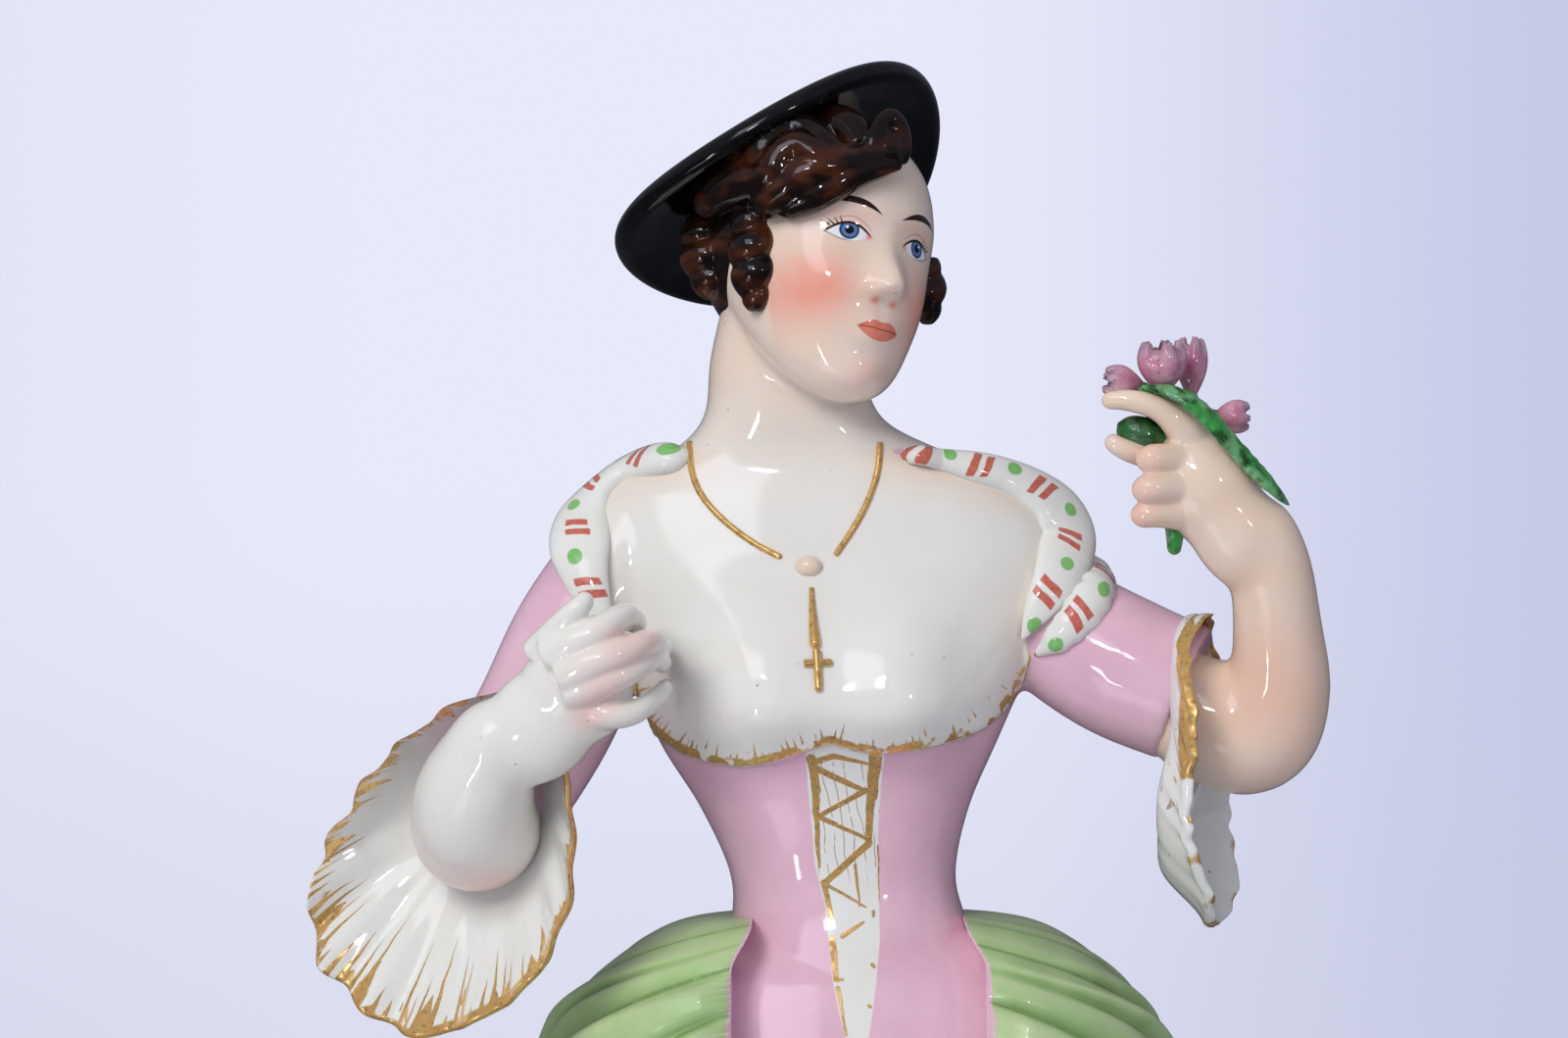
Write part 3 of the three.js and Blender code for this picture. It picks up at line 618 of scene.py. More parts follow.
# marks for the gown: how far a point is inside the bare breast and neck (above 0) or out on the cloth, its
# place along the neckline, its place across the laced panel, and where it shows on the photograph
def gownMarks(points):
    x, z = seenFromFront(points)
    outline = fromPhoto(necklinePixels + shoulderPixels + necklinePixels[:1])
    near, _ = toLine(x, z, outline)
    crossings = np.zeros(x.shape, int)
    for a, b in zip(outline[:-1], outline[1:]):
        straddles = (a[1] > z) != (b[1] > z)
        at = a[0] + (z - a[1]) * (b[0] - a[0]) / (b[1] - a[1] if b[1] != a[1] else 1)
        crossings += straddles & (x < at)
    bare = np.where(crossings % 2 == 1, near, -near)
    bare = np.where(points[:, 1] > gown["backFrom"], points[:, 2] - gown["backNeckline"], bare)
    bare = np.where(z > gown["allBareFrom"], gown["wellInside"], bare)
    toNeck, along = toLine(x, z, fromPhoto(necklinePixels))
    rows = np.array(panelRows, float)
    left, right = (np.interp(-z, -heightAt(rows[:, 0]), acrossAt(rows[:, k])) for k in (1, 2))
    panel = (x - (left + right) / 2) / np.maximum((right - left) / 2, 0.02)
    panel = np.where((points[:, 1] > 0) | (z > gown["panelTop"]), gown["offPanel"], panel)
    return {"bare": bare, "fromNeckline": np.where(bare > 0, toNeck, -toNeck), "neckRun": along,
            "panel": panel, "seenX": x, "seenZ": z}


sleeves = {
    "right": ([[-22, 1.5, 226], [-26, 1, 221], [-32, -1, 211], [-37, -4, 200], [-43.4, -8, 189]],
              [6.8, 7.8, 8.6, 8.6, 8.2]),
    "left": ([[10, 1.5, 220], [17, 1, 217], [27, -1, 210], [34, -2.6, 206], [41.2, -4.2, 203]],
             [7.0, 7.8, 8.3, 8.8, 8.6]),
}
sleeveShapes = [limb(*sleeves[side], 96, 140, False) for side in ("right", "left")]
lady = fired("lady", [bodyShape(), apronShape(), skullShape()] + sleeveShapes, torso["grain"],
             torso["softening"])
points = pointsOf(lady)
marks = gownMarks(points)
rise = marks["fromNeckline"]
ledge = torso["ledge"] * ease(rise, -0.35, 0.35) * (1 - ease(rise, 3.0, 9.0))
ledge = ledge * (points[:, 1] < -3) * ease(230 - points[:, 2], 0, 8)
points = points + ledge[:, None] * readPoints(lady, "normal")
movePoints(lady, points)
markPoints(lady, marks)
markPoints(lady, {"face": inHead(points)})
print("lady:", len(lady.data.polygons), "faces")


# the lacing as brush strokes on the photograph: from, to, and half the width at each end in millimetres
lacing = [((828, 774), (833, 806), 0.62, 0.5), ((831, 800), (836, 884), 0.5, 0.16),
          ((893, 768), (890, 812), 0.85, 0.6), ((889, 808), (886, 862), 0.55, 0.4),
          ((896, 862), (897, 918), 0.1, 0.07), ((832, 777), (850, 771), 0.4, 0.35),
          ((850, 771), (886, 779), 0.35, 0.16), ((832, 783), (883, 807), 0.42, 0.3),
          ((883, 806), (836, 832), 0.36, 0.3), ((838, 834), (886, 856), 0.32, 0.2),
          ((887, 860), (842, 900), 0.45, 0.4), ((845, 903), (883, 925), 0.22, 0.12),
          ((873, 882), (877, 924), 0.2, 0.12), ((841, 900), (849, 937), 0.42, 0.22),
          ((860, 955), (880, 941), 0.3, 0.2), ((849, 958), (853, 999), 0.42, 0.34),
          ((854, 1000), (860, 999), 0.2, 0.16), ((855, 1008), (864, 1056), 0.3, 0.12),
          ((891, 930), (891, 934), 0.24, 0.2), ((890, 984), (892, 986), 0.24, 0.2),
          ((886, 1026), (888, 1027), 0.22, 0.2)]


# a brush stroke from a to b: 1 within its half width, which goes from one value to another along it
def laidStroke(graph, x, z, a, b, wide, narrow):
    wayX, wayZ = b[0] - a[0], b[1] - a[1]
    share = graph.node("ShaderNodeClamp", {},
                       {0: ((x - a[0]) * wayX + (z - a[1]) * wayZ) * (1 / (wayX ** 2 + wayZ ** 2))})
    offX, offZ = x - a[0] - share * wayX, z - a[1] - share * wayZ
    return graph.above(share * (narrow - wide) + wide - graph.length(offX, offZ), 0.0, 0.1)


# bare skin and glaze, the pink gown, its gilded neckline and the laced panel, chosen by marks on the points
def bodiceColour(graph, skin):
    bare, panel = graph.mark("bare"), graph.mark("panel")
    x, z = graph.mark("seenX"), graph.mark("seenZ")
    rise, run = graph.mark("fromNeckline"), graph.mark("neckRun")
    pink = pinkWash(graph)
    inPanel = graph.below(abs(panel), 1.0, 0.04)
    colour = graph.mix(inPanel, pink, whiteGlaze(graph, 6.0))
    slant = x + z * 0.16 + graph.noise(5.0, 1.0) * 1.6
    thread = graph.below(abs(graph.maths("FRACT", slant * 0.85) - 0.5), 0.055, 0.05)
    hatch = graph.both(inPanel, thread, graph.patches(1.5, 1.0, 0.42, 0.1), graph.above(z, 180.5, 3.0),
                       graph.below(z, 194.5, 0.5))
    colour = graph.mix(hatch * 0.75, colour, tints["goldDark"])
    colour = graph.mix(graph.above(bare, 0.0, 0.12), colour, skin)
    bent = x + (graph.noise(2.5, 2.0) - 0.5) * 0.5
    laces = graph.either(*[laidStroke(graph, bent, z, *fromPhoto([a, b]), wide, narrow)
                           for a, b, wide, narrow in lacing])
    ragged = graph.patches(0.5, 2.0, 0.3, 0.06)
    laces = graph.both(laces, graph.below(panel, 6.0, 0.5), ragged)
    onBare = graph.above(bare, 0.0, 0.1)
    uneven = graph.noise(2.4, 2.0)
    broken = graph.above(uneven - graph.above(x, 6.0, 10.0) * 0.14, 0.4, 0.08)
    band = graph.both(graph.above(rise, 0.25, 0.15), graph.below(rise, 0.75 + uneven * 0.9, 0.25), onBare,
                      broken)
    spikes = graph.both(strokes(graph, run, rise, 0.85, 1.1, 3.3, 0.9), graph.above(rise, 0.3, 0.1), onBare,
                        broken)
    rim = graph.both(graph.below(abs(rise), 0.1, 0.08), graph.below(uneven, 0.55, 0.1))
    gold = graph.either(laces, band, spikes, rim) * graph.above(graph.mark("front"), 0.5, 0.1)
    return colour, gold


# rose glaze, cloudy, and deeper in places
def pinkWash(graph):
    cloud = graph.patches(9.0, 3.0, 0.5, 0.5)
    fine = graph.noise(1.8, 3.0)
    return graph.mix(cloud * 0.45 + fine * 0.15, tints["pink"], tints["pinkDeep"])


# where the features are painted, in the head's own millimetres
facePaint = {"eyeApart": 5.0, "eyeHeight": 0.2, "eyeHalf": 2.5, "irisRadius": 1.15, "irisRise": 0.42,
             "mouthHeight": -10.95}


# cheeks, eyes, brows and lips in thin strokes, on the front of the head alone
def paintFace(graph, colour):
    f = facePaint
    where = graph.node("ShaderNodeAttribute", {"attribute_name": "face"}, {}, 1)
    x, y, z = (graph.node("ShaderNodeSeparateXYZ", {}, {0: where}, k) for k in range(3))
    across = abs(x)
    front = graph.above(-y, 5.0, 1.5)
    cheek = graph.bell(across - 7.8, 3.2) * graph.bell(z + 6.8, 3.2)
    lay = lambda mask, share, tint: graph.mix(graph.both(mask, front) * share, colour, tints[tint])
    colour = lay(cheek, 0.62 + 0.25 * graph.noise(2.0), "blush")
    soft = (graph.bell(across - 5.0, 2.6) * graph.bell(z - 2.4, 0.8)
            + graph.bell(x, 2.2) * graph.bell(z + 16, 1.6))
    colour = lay(soft, 0.22, "blush")
    dx, dz = across - f["eyeApart"], z - f["eyeHeight"]
    upper, lower = 1.3 - dx * dx * 0.2, dx * dx * 0.14 - 0.88
    inside = graph.above(graph.maths("MINIMUM", upper - dz, dz - lower), 0.0, 0.1) * front
    colour = graph.mix(inside, colour, tints["eyeWhite"])
    fromIris = graph.length(dx, dz - f["irisRise"])
    iris = graph.mix(graph.above(fromIris, f["irisRadius"] * 0.78, 0.25), tints["iris"], shade("#22344f"))
    iris = graph.mix(graph.below(fromIris, 0.52, 0.1), iris, tints["pupil"])
    colour = graph.mix(graph.both(inside, graph.below(fromIris, f["irisRadius"], 0.12)), colour, iris)
    glint = graph.length(dx - 0.3, dz - 0.72)
    colour = graph.mix(graph.both(inside, graph.below(glint, 0.17, 0.08)), colour, (0.9, 0.92, 0.95, 1.0))
    onEye = graph.below(abs(dx), f["eyeHalf"] + 0.1, 0.2)
    lidLine = graph.both(graph.below(abs(dz - upper), 0.17, 0.12), onEye)
    lowLine = graph.both(graph.below(abs(dz - lower), 0.07, 0.1), onEye, graph.above(dx, 0.0, 1.5)) * 0.7
    lashes = [laidStroke(graph, dx, dz, (0.9 + 0.42 * k, 1.2 - 0.14 * k), (1.25 + 0.6 * k, 2.0 - 0.24 * k),
                         0.1, 0.02) for k in range(4)]
    fold = graph.both(graph.below(abs(dz - upper - 0.75), 0.09, 0.2), onEye) * 0.35
    browRise = z - 4.3 + (across - 5.6) * (across - 5.6) * 0.075
    browWidth = 0.42 - (across - 4.9) * (across - 4.9) * 0.034
    brow = graph.above(browWidth - abs(browRise), 0.0, 0.12)
    dark = graph.both(graph.either(lidLine, lowLine, brow, fold, *lashes), front)
    colour = graph.mix(dark, colour, tints["brow"])
    tear = graph.bell(dx + 2.35, 0.28) * graph.bell(dz + 0.1, 0.25)
    colour = lay(tear, 0.7, "lip")
    nostril = graph.bell(across - 1.35, 0.42) * graph.bell(z + 7.55, 0.3)
    colour = lay(nostril, 0.75, "lip")
    line = f["mouthHeight"] + across * 0.06
    top = f["mouthHeight"] + 1.2 - x * x * 0.125 - graph.bell(x, 0.45) * 0.32
    bottom = f["mouthHeight"] - 1.3 + x * x * 0.16
    lips = graph.above(graph.maths("MINIMUM", top - z, z - bottom), 0.0, 0.12)
    colour = lay(lips, 0.75 + 0.2 * graph.noise(1.0), "lip")
    parting = graph.both(graph.below(abs(z - line), 0.07, 0.1), graph.below(across, 2.7, 0.4), front)
    return graph.mix(parting * 0.8, colour, shade("#7a2a1c"))


# white glaze with a thin flesh wash, unevenly laid, and rare specks from the kiln
def skinColour(graph, wash):
    laid = graph.patches(5.0, 3.0, 0.5, 0.7)
    colour = graph.mix((0.7 + 0.3 * laid) * wash, whiteGlaze(graph, 7.0), tints["skin"])
    speck = graph.patches(0.65, 0.0, 0.89, 0.02)
    return graph.mix(speck * 0.6, colour, tints["grime"])


# head, breast and gown; the flesh wash deepens up the neck and along the neckline
def ladyGlaze():
    graph = Graph("ladyGlaze")
    height = graph.height()
    edge = graph.below(graph.mark("bare"), 3.0, 7.0) * graph.above(height, 206.0, 8.0)
    wash = graph.above(height, 234.0, 24.0) * 0.72 + 0.08 + edge * 0.5
    skin = paintFace(graph, skinColour(graph, wash))
    colour, gold = bodiceColour(graph, skin)
    return glazed(graph, colour, gold)


markPoints(lady, {"front": points[:, 1] < 3})
lady.data.materials.append(ladyGlaze())

# forearms and fingers: points on the middle line, and the radius at each
arms = {
    "right": {
        "forearm": ([[-44.3, -7, 188], [-44.8, -14, 187.4], [-44.6, -18, 191.6], [-41.8, -21, 197.4],
                     [-38, -22.8, 201]], [7.2, 7.9, 7.3, 6, 5.6]),
        "heel": (atDepth([(553, 738, -23)])[0], [6.6, 4.5, 8], [0.62, 0, 0.78]),
        "palm": (atDepth([(589, 702, -24.6)])[0], [7, 3.9, 6.8], [0.78, 0, 0.62]),
        "thumb": (atDepth([(548, 668, -24.6), (570, 641, -26.6), (588, 622, -27.6), (603, 606, -27)]),
                  [2.2, 1.8, 1.5, 1.15]),
        "index": (atDepth([(560, 668, -26), (590, 655, -27.6), (615, 642, -27.6), (636, 629, -25),
                           (648, 634, -21), (650, 636, -13)]), [2.7, 2.2, 1.75, 1.5, 1.3, 1.2]),
        "middle": (atDepth([(575, 690, -27), (610, 675, -28.6), (640, 664, -28), (662, 654, -25.4),
                            (674, 659, -21), (675, 660, -12.5)]), [2.7, 2.1, 1.65, 1.4, 1.25, 1.2]),
        "ring": (atDepth([(580, 706, -26.5), (615, 695, -28), (645, 683, -27.2), (665, 672, -24.6),
                          (675, 676, -20.5), (676, 677, -12.5)]), [2.6, 2, 1.55, 1.3, 1.15, 1.1]),
        "little": (atDepth([(590, 724, -25), (620, 729, -26.5), (645, 727, -26.2), (663, 716, -24.4),
                            (677, 703, -20.5), (680, 700, -13)]), [2.5, 1.75, 1.35, 1.2, 1.05, 1]),
    },
    "left": {
        "forearm": ([[37, -4, 204], [48.2, -6, 198.1], [51.9, -8, 203.6], [51.6, -10.5, 212.5],
                     [50.2, -12, 220], [46.6, -13, 226.4]], [6.2, 7.6, 6.9, 5.6, 5.1, 4.8]),
        "heel": ([46.4, -13, 223], [5.6, 4.9, 8.6], [-0.5, 0, 0.86]),
        "palm": ([42.8, -13.4, 228], [6.2, 4.8, 8], [-0.5, 0, 0.86]),
        "index": (atDepth([(1224, 462, -13), (1206, 436, -15), (1181, 416, -16), (1150, 408, -16),
                           (1124, 409, -15.6)]),
                  [3, 2.3, 1.6, 1.35, 1.05]),
        "middle": (atDepth([(1215, 470, -14), (1178, 468, -17), (1165, 471, -16)]), [2.6, 2, 1.8]),
        "ring": (atDepth([(1215, 496, -14.5), (1176, 498, -17.4), (1162, 501, -16)]), [2.6, 2, 1.75]),
        "little": (atDepth([(1215, 522, -14), (1174, 524, -16.6), (1159, 527, -15.4)]), [2.5, 1.8, 1.55]),
        "thumb": (atDepth([(1190, 470, -12.6), (1158, 462, -14.6), (1140, 454, -15), (1130, 445, -14.6)]),
                  [2.2, 1.5, 1.3, 1.05]),
    },
    "grain": 0.25, "softening": 7, "coreGrain": 0.4, "coreSoftening": 75,
}


# forearm, heel and palm melt into each other first, and the fingers are set on them
def armPiece(name, parts):
    core = fired(name + "Core", [limb(*parts["forearm"]), pebble(*parts["heel"]), pebble(*parts["palm"])],
                 arms["coreGrain"], arms["coreSoftening"])
    faces = np.array([tuple(face.vertices) for face in core.data.polygons])
    smooth = {"points": pointsOf(core), "quads": faces, "fans": np.zeros((0, 3), int)}
    bpy.data.objects.remove(core)
    fingers = [limb(*part) for key, part in parts.items() if key not in ("forearm", "heel", "palm")]
    return fired(name, [smooth] + fingers, arms["grain"], arms["softening"])


# flesh wash deepest where the glaze pools between the fingers and over the knuckles
def armGlaze(name, wash, knuckles):
    graph = Graph(name)
    skin = skinColour(graph, wash)
    for knuckle, size in knuckles:
        skin = graph.mix(graph.bell(graph.fromPoint(knuckle), size) * 0.3, skin, tints["blush"])
    return glazed(graph, skin)


# how strong the flesh wash is, and the places and sizes of deeper touches
armPaint = {
    "right": (0.1, [((-27, -29, 209), 2.2), ((-29, -29, 204), 2.0), ((-31, -28, 201), 1.6),
                    ((-24, -27, 210), 1.5), ((-48, -15, 183.5), 3.2), ((-43, -17, 180.5), 3.0)]),
    "left": (0.95, [((35.6, -17.4, 231.4), 1.8), ((35, -17.8, 227.6), 1.5), ((34.6, -17, 224.4), 1.6),
                    ((50, -14, 204), 5.0)]),
}
armPieces = []
for side, (wash, knuckles) in armPaint.items():
    piece = armPiece(side + "Arm", arms[side])
    piece.data.materials.append(armGlaze(side + "ArmGlaze", wash, knuckles))
    armPieces.append(piece)
print("arms ready")

skinTree = BVHTree.FromPolygons([tuple(p) for p in pointsOf(lady)],
                                [tuple(face.vertices) for face in lady.data.polygons])


# the place on the breast or a sleeve behind a pixel: where the ray from the camera meets the skin
def onSkin(pixel, proud):
    x, z = fromPhoto([pixel])[0]
    way = unit(np.array([x, 0, z]) - viewPoint)
    hit, out, _, _ = skinTree.ray_cast(Vector(viewPoint), Vector(way))
    if hit is None:
        hit, out, _, _ = skinTree.find_nearest(Vector(viewPoint + way * (1 - viewPoint[1])))
    return np.array(hit) + np.array(out) * proud


collar = {
    # pixels and half widths in millimetres from the right breast to the neck, a way round behind it in
    # millimetres, and pixels from the neck to the left breast and under it
    "rightPixels": [(622, 662, 1.6), (611, 630, 2.6), (599, 592, 3.3), (594, 560, 3.7), (597, 528, 3.6),
                    (613, 501, 3.3), (645, 480, 2.8), (690, 469, 2.0)],
    "behind": [[-17.5, 7.2, 231.4, 1.9], [-12, 11, 232, 2.6], [-6, 12.6, 232.2, 2.8], [0, 11.2, 231.6, 2.6],
               [4.8, 6.2, 231.2, 1.8]],
    "leftPixels": [(930, 466, 1.3), (960, 472, 1.5), (990, 479, 2.0), (1022, 488, 2.4), (1052, 502, 3.0),
                   (1076, 522, 3.4), (1086, 552, 3.5), (1076, 594, 3.5), (1056, 626, 2.9), (1040, 652, 1.6)],
    "under": [(1112, 560, 1.6), (1124, 580, 2.0), (1118, 604, 2.4), (1100, 630, 2.4), (1078, 652, 1.8),
              (1056, 668, 1.0)],
    "halfThickness": 1.7, "trunk": [-2.5, 0.5, 212], "trunkHalf": [30, 14, 22],
    "pitch": 8.1, "phase": 0.55, "strokeHalf": 1.5, "strokeApart": 0.8, "strokeWidth": 0.48, "dotRadius": 0.9,
}


# a flattened roll: half width cos a across the path and half thickness sin a out from the body, drawn in at
# its ends, with marks for the run along it, the offset from its middle and its outer side
def ribbon(path, halfWidth, halfThickness, outwardAt, around=72, along=420, drawIn=7.0):
    t = np.linspace(0, 1, along)
    middle, ahead, length = alongPath(path, t)
    out = outwardAt(middle)
    out = unit(out - np.sum(out * ahead, -1, keepdims=True) * ahead)
    across = np.cross(ahead, out)
    taper = np.sqrt(np.clip(np.minimum(t, 1 - t) * drawIn + 0.004, 0, 1))[:, None, None]
    angle = ringOf(around)[..., None]
    wide, thick = np.broadcast_to(halfWidth, (along,)), np.broadcast_to(halfThickness, (along,))
    rings = middle[:, None] + across[:, None] * wide[:, None, None] * taper * np.cos(angle)
    rings = rings + out[:, None] * thick[:, None, None] * taper * squared(np.sin(angle), 0.85)
    shape = closedGrid(rings, middle[0], middle[-1])
    flat = lambda values, first, last: np.concatenate([np.broadcast_to(values, (along, around)).ravel(),
                                                       [first, last]])
    marks = {"run": flat((t * length)[:, None], 0, length),
             "offset": flat((wide[:, None] * taper[:, :, 0]) * np.cos(angle[:, :, 0]), 0, 0),
             "outside": flat(np.sin(angle[:, :, 0]), 0, 0)}
    return shape, marks


# out of an oval body, and turned more towards the front the further forward it is
def offTrunk(points):
    out = unit((points - collar["trunk"]) / np.square(np.array(collar["trunkHalf"], float)))
    forward = ease(-points[:, 1:2], -4, 5)
    return out * (1 - 0.55 * forward) + np.array([0, -0.75, 0.25]) * forward


# pixels and half widths to places that stand proud of the skin, with the same half widths
def collarRows(pixels, proud):
    return [[*onSkin(pixel[:2], proud), pixel[2]] for pixel in pixels]


collarRun = np.array(collarRows(collar["rightPixels"], 0.5) + collar["behind"]
                     + collarRows(collar["leftPixels"], 0.5))
underRun = np.array(collarRows(collar["under"], 0.2))
collarParts = []
for rows, seam in ((collarRun, 5.0), (underRun, 3.0)):
    shares = np.linspace(0, 1, 420)
    fine = readRows(rows, np.linspace(0, 1, fineSteps))
    lengths = runOf(fine[:, :3])
    wide = np.interp(shares * lengths[-1], lengths, fine[:, 3])
    wide = wide * (1 + 0.04 * np.sin(shares * 60) + 0.03 * np.sin(shares * 23))
    thick = np.minimum(collar["halfThickness"], wide * 0.75)
    collarParts.append(ribbon(rows[:, :3], wide, thick, offTrunk, drawIn=seam * 2))
collarShape = together([shape for shape, _ in collarParts])
collarMarks = {key: np.concatenate([marks[key] for _, marks in collarParts]) for key in collarParts[0][1]}
collarPiece = pieceFrom("collar", collarShape, collarMarks)


# white, with pairs of red strokes across the roll and a green dot between each two pairs
def collarGlaze():
    c = collar
    graph = Graph("collarGlaze")
    run, offset, outside = graph.mark("run"), graph.mark("offset"), graph.mark("outside")
    wobble = graph.noise(2.2, 1.0) - 0.5
    shifted = run + offset * 0.28 + wobble * 0.5
    beat = shifted / c["pitch"] + c["phase"]
    phase = (graph.maths("FRACT", beat) - 0.5) * c["pitch"]
    pair = abs(abs(phase) - c["strokeApart"])
    stroke = graph.both(graph.below(pair, c["strokeWidth"], 0.16),
                        graph.below(abs(offset - 0.3 + wobble * 0.8), c["strokeHalf"], 0.2),
                        graph.above(outside, 0.0, 0.1))
    between = (graph.maths("FRACT", run / c["pitch"] + c["phase"] + 0.5) - 0.5) * c["pitch"]
    apart = graph.length(between, offset + 0.4) + wobble * 0.6
    dot = graph.both(graph.below(apart, c["dotRadius"], 0.2), graph.above(outside, 0.0, 0.1))
    red = graph.mix(graph.noise(0.7, 2.0), tints["stroke"], shade("#a83a1c"))
    colour = graph.mix(stroke * (0.75 + 0.25 * graph.noise(0.6)), whiteGlaze(graph, 5.0), red)
    colour = graph.mix(dot * (0.7 + 0.3 * graph.noise(0.7)), colour, tints["dot"])
    return glazed(graph, colour, relief=graph.either(stroke, dot) * 0.2)


collarPiece.data.materials.append(collarGlaze())
print("collar ready")

cuffs = {
    "right": {"throat": [-44, -8, 188.5], "throatRadius": 7.4, "rim": [-48.4, -17.5, 181.8], "sag": 0,
              "depth": 0.9, "axis": [-0.42, -0.9, 0.05], "up": [0.38, 0, 0.92], "flutes": 15, "outline": [
                  (494, 713), (464, 725), (440, 741), (412, 761), (388, 785), (364, 814), (347, 846),
                  (325, 880), (315, 921), (317, 970), (336, 1007), (366, 1034), (394, 1058), (437, 1067),
                  (485, 1050), (529, 1023), (554, 990), (571, 953), (581, 914), (581, 868), (577, 808),
                  (563, 772), (549, 739), (525, 719)]},
    "left": {"throat": [40.6, -4, 202], "throatRadius": 7.4, "rim": [43.6, -6, 192.2], "sag": 4.6,
             "depth": 0.7, "axis": [0.95, -0.25, 0.05], "up": [-0.1, 0, 1], "flutes": 5, "halfUp": 19,
             "halfAcross": 13.5},
    "wall": 1.4, "around": 400, "through": 130, "rimSteps": 512, "rimWaves": 14,
}


# how far the rim lies from its middle at each angle: an oval, or the drawn outline carried onto the rim's
# plane and kept to its slow waves
def rimReach(cuff, angle, ahead, high, aside):
    if "halfUp" in cuff:
        return 1 / np.hypot(np.cos(angle) / cuff["halfUp"], np.sin(angle) / cuff["halfAcross"])
    middle = np.array(cuff["rim"], float)
    flat = np.array([[x, 0, z] for x, z in fromPhoto(cuff["outline"])])
    way = flat - viewPoint
    share = ((middle - viewPoint) @ ahead) / (way @ ahead)
    off = viewPoint + way * share[:, None] - middle
    at, far = np.arctan2(off @ aside, off @ high) % turn, np.linalg.norm(off, axis=1)
    order, steps = np.argsort(at), ringOf(cuffs["rimSteps"])[0]
    waves = np.fft.rfft(np.interp(steps, at[order], far[order], period=turn))
    waves[cuffs["rimWaves"]:] = 0
    return np.interp(angle, steps, np.fft.irfft(waves, len(steps)), period=turn)


# a bell with a thin wall, out along its back, round the rim and in along its face; its flutes grow as
# out^1.5 cos na and the crimps at its rim as out^3
def bellShape(cuff):
    angle, v = ringOf(cuffs["around"]), sharesOf(cuffs["through"])
    out = 1 - np.abs(2 * v - 1)
    face = ease(v, 0.485, 0.515)
    ahead = unit(np.array(cuff["axis"], float))
    high = unit(cuff["up"] - np.dot(cuff["up"], ahead) * ahead)
    aside = np.cross(ahead, high)
    flute = out ** 1.5 * np.cos(cuff["flutes"] * angle + 0.8 * np.sin(2 * angle))
    crimp = out ** 3 * (0.5 * np.cos(19 * angle + 1.3 * np.sin(3 * angle)) + 0.3 * np.cos(31 * angle + 0.7))
    far = rimReach(cuff, angle, ahead, high, aside) * (1 + 0.006 * flute + 0.008 * crimp)
    reach = blend(cuff["throatRadius"], far, out ** 0.8)
    flare = blend(out * out * (1 - 0.25 * out), out, 0.5)[..., None]
    centre = blend(np.array(cuff["throat"], float), np.array(cuff["rim"], float),
                   flare + 0 * angle[..., None])
    sag = cuff["sag"] * np.maximum(0, -np.cos(angle)) * np.sin(math.pi * out ** 1.3) ** 2
    push = cuff["depth"] * flute + 0.35 * crimp + cuffs["wall"] * face - sag
    spoke = high * np.cos(angle)[..., None] + aside * np.sin(angle)[..., None]
    rings = centre + spoke * reach[..., None] + ahead * push[..., None]
    marks = {"bellAcross": (np.sin(angle) + 0 * out).ravel(), "bellUp": (np.cos(angle) + 0 * out).ravel(),
             "fromRim": ((1 - out) * (far - cuff["throatRadius"]) * 1.15).ravel()}
    return loopedGrid(rings), marks


# rings that also join up last to first, so that no end is left open
def loopedGrid(rings):
    rows, columns = rings.shape[:2]
    index = np.arange(rows * columns).reshape(rows, columns)
    quads = np.stack([index, np.roll(index, -1, 1), np.roll(np.roll(index, -1, 1), -1, 0),
                      np.roll(index, -1, 0)], -1)
    return facedOut({"points": rings.reshape(-1, 3), "quads": quads.reshape(-1, 4),
                     "fans": np.zeros((0, 3), int)})


# white, its rim gilded and brushed inwards with thin strokes; the hanging one has a band and kiln specks
def cuffGlaze(name, hanging):
    graph = Graph(name)
    rise = graph.mark("fromRim")
    angle = graph.maths("ARCTAN2", graph.mark("bellAcross"), graph.mark("bellUp"))
    run = angle * 17.0
    colour, height, ragged = whiteGlaze(graph, 6.0), graph.height(), graph.noise(0.5, 2.0)
    if hanging:
        wide = graph.above(height, 196.0, 5.0) * 1.7 + 0.3 + graph.noise(2.0) * 0.5
        speck = graph.patches(1.4, 1.0, 0.735, 0.03) * graph.above(rise, 1.5, 1.0)
        colour = graph.mix(speck * 0.75, colour, tints["grime"])
        thin = graph.both(strokes(graph, run, rise, 1.7, 0.8, 3.6, 0.7), graph.above(height, 190.0, 6.0))
        gold = graph.either(graph.below(rise, wide, 0.3), graph.above(thin - ragged * 0.35, 0.3, 0.2))
        gold = gold * graph.above(graph.noise(3.0, 1.0) + graph.above(height, 195.0, 6.0) * 0.6, 0.6, 0.1)
    else:
        colour = graph.mix(graph.above(rise, 9.0, 6.0) * 0.6, colour, tints["glazeWarm"])
        patch = graph.patches(8.0, 1.0, 0.42, 0.2)
        shorter = graph.either(graph.above(height, 188.0, 14.0),
                               graph.below(graph.mark("bellAcross"), -0.75, 0.5))
        thin = strokes(graph, run, rise * (shorter * 2.2 + 1), 1.3, 1.0, 11.0, 0.62)
        wide = strokes(graph, run, rise, 2.2, 0.8, 5.0, 1.5, 40.0) * patch
        band = graph.above(graph.mark("bellAcross") * -1.0, 0.0, 1.0)
        edge = graph.below(rise, 0.15 + band * 1.1, 0.3)
        gold = graph.either(graph.above(thin - ragged * 0.5, 0.25, 0.25),
                            graph.above(wide - ragged * 0.35, 0.25, 0.25), edge)
    return glazed(graph, colour, gold)


cuffPieces = []
for side in ("right", "left"):
    bell, bellMarks = bellShape(cuffs[side])
    piece = pieceFrom(side + "Cuff", bell, bellMarks)
    piece.data.materials.append(cuffGlaze(side + "CuffGlaze", side == "left"))
    cuffPieces.append(piece)
print("cuffs ready")

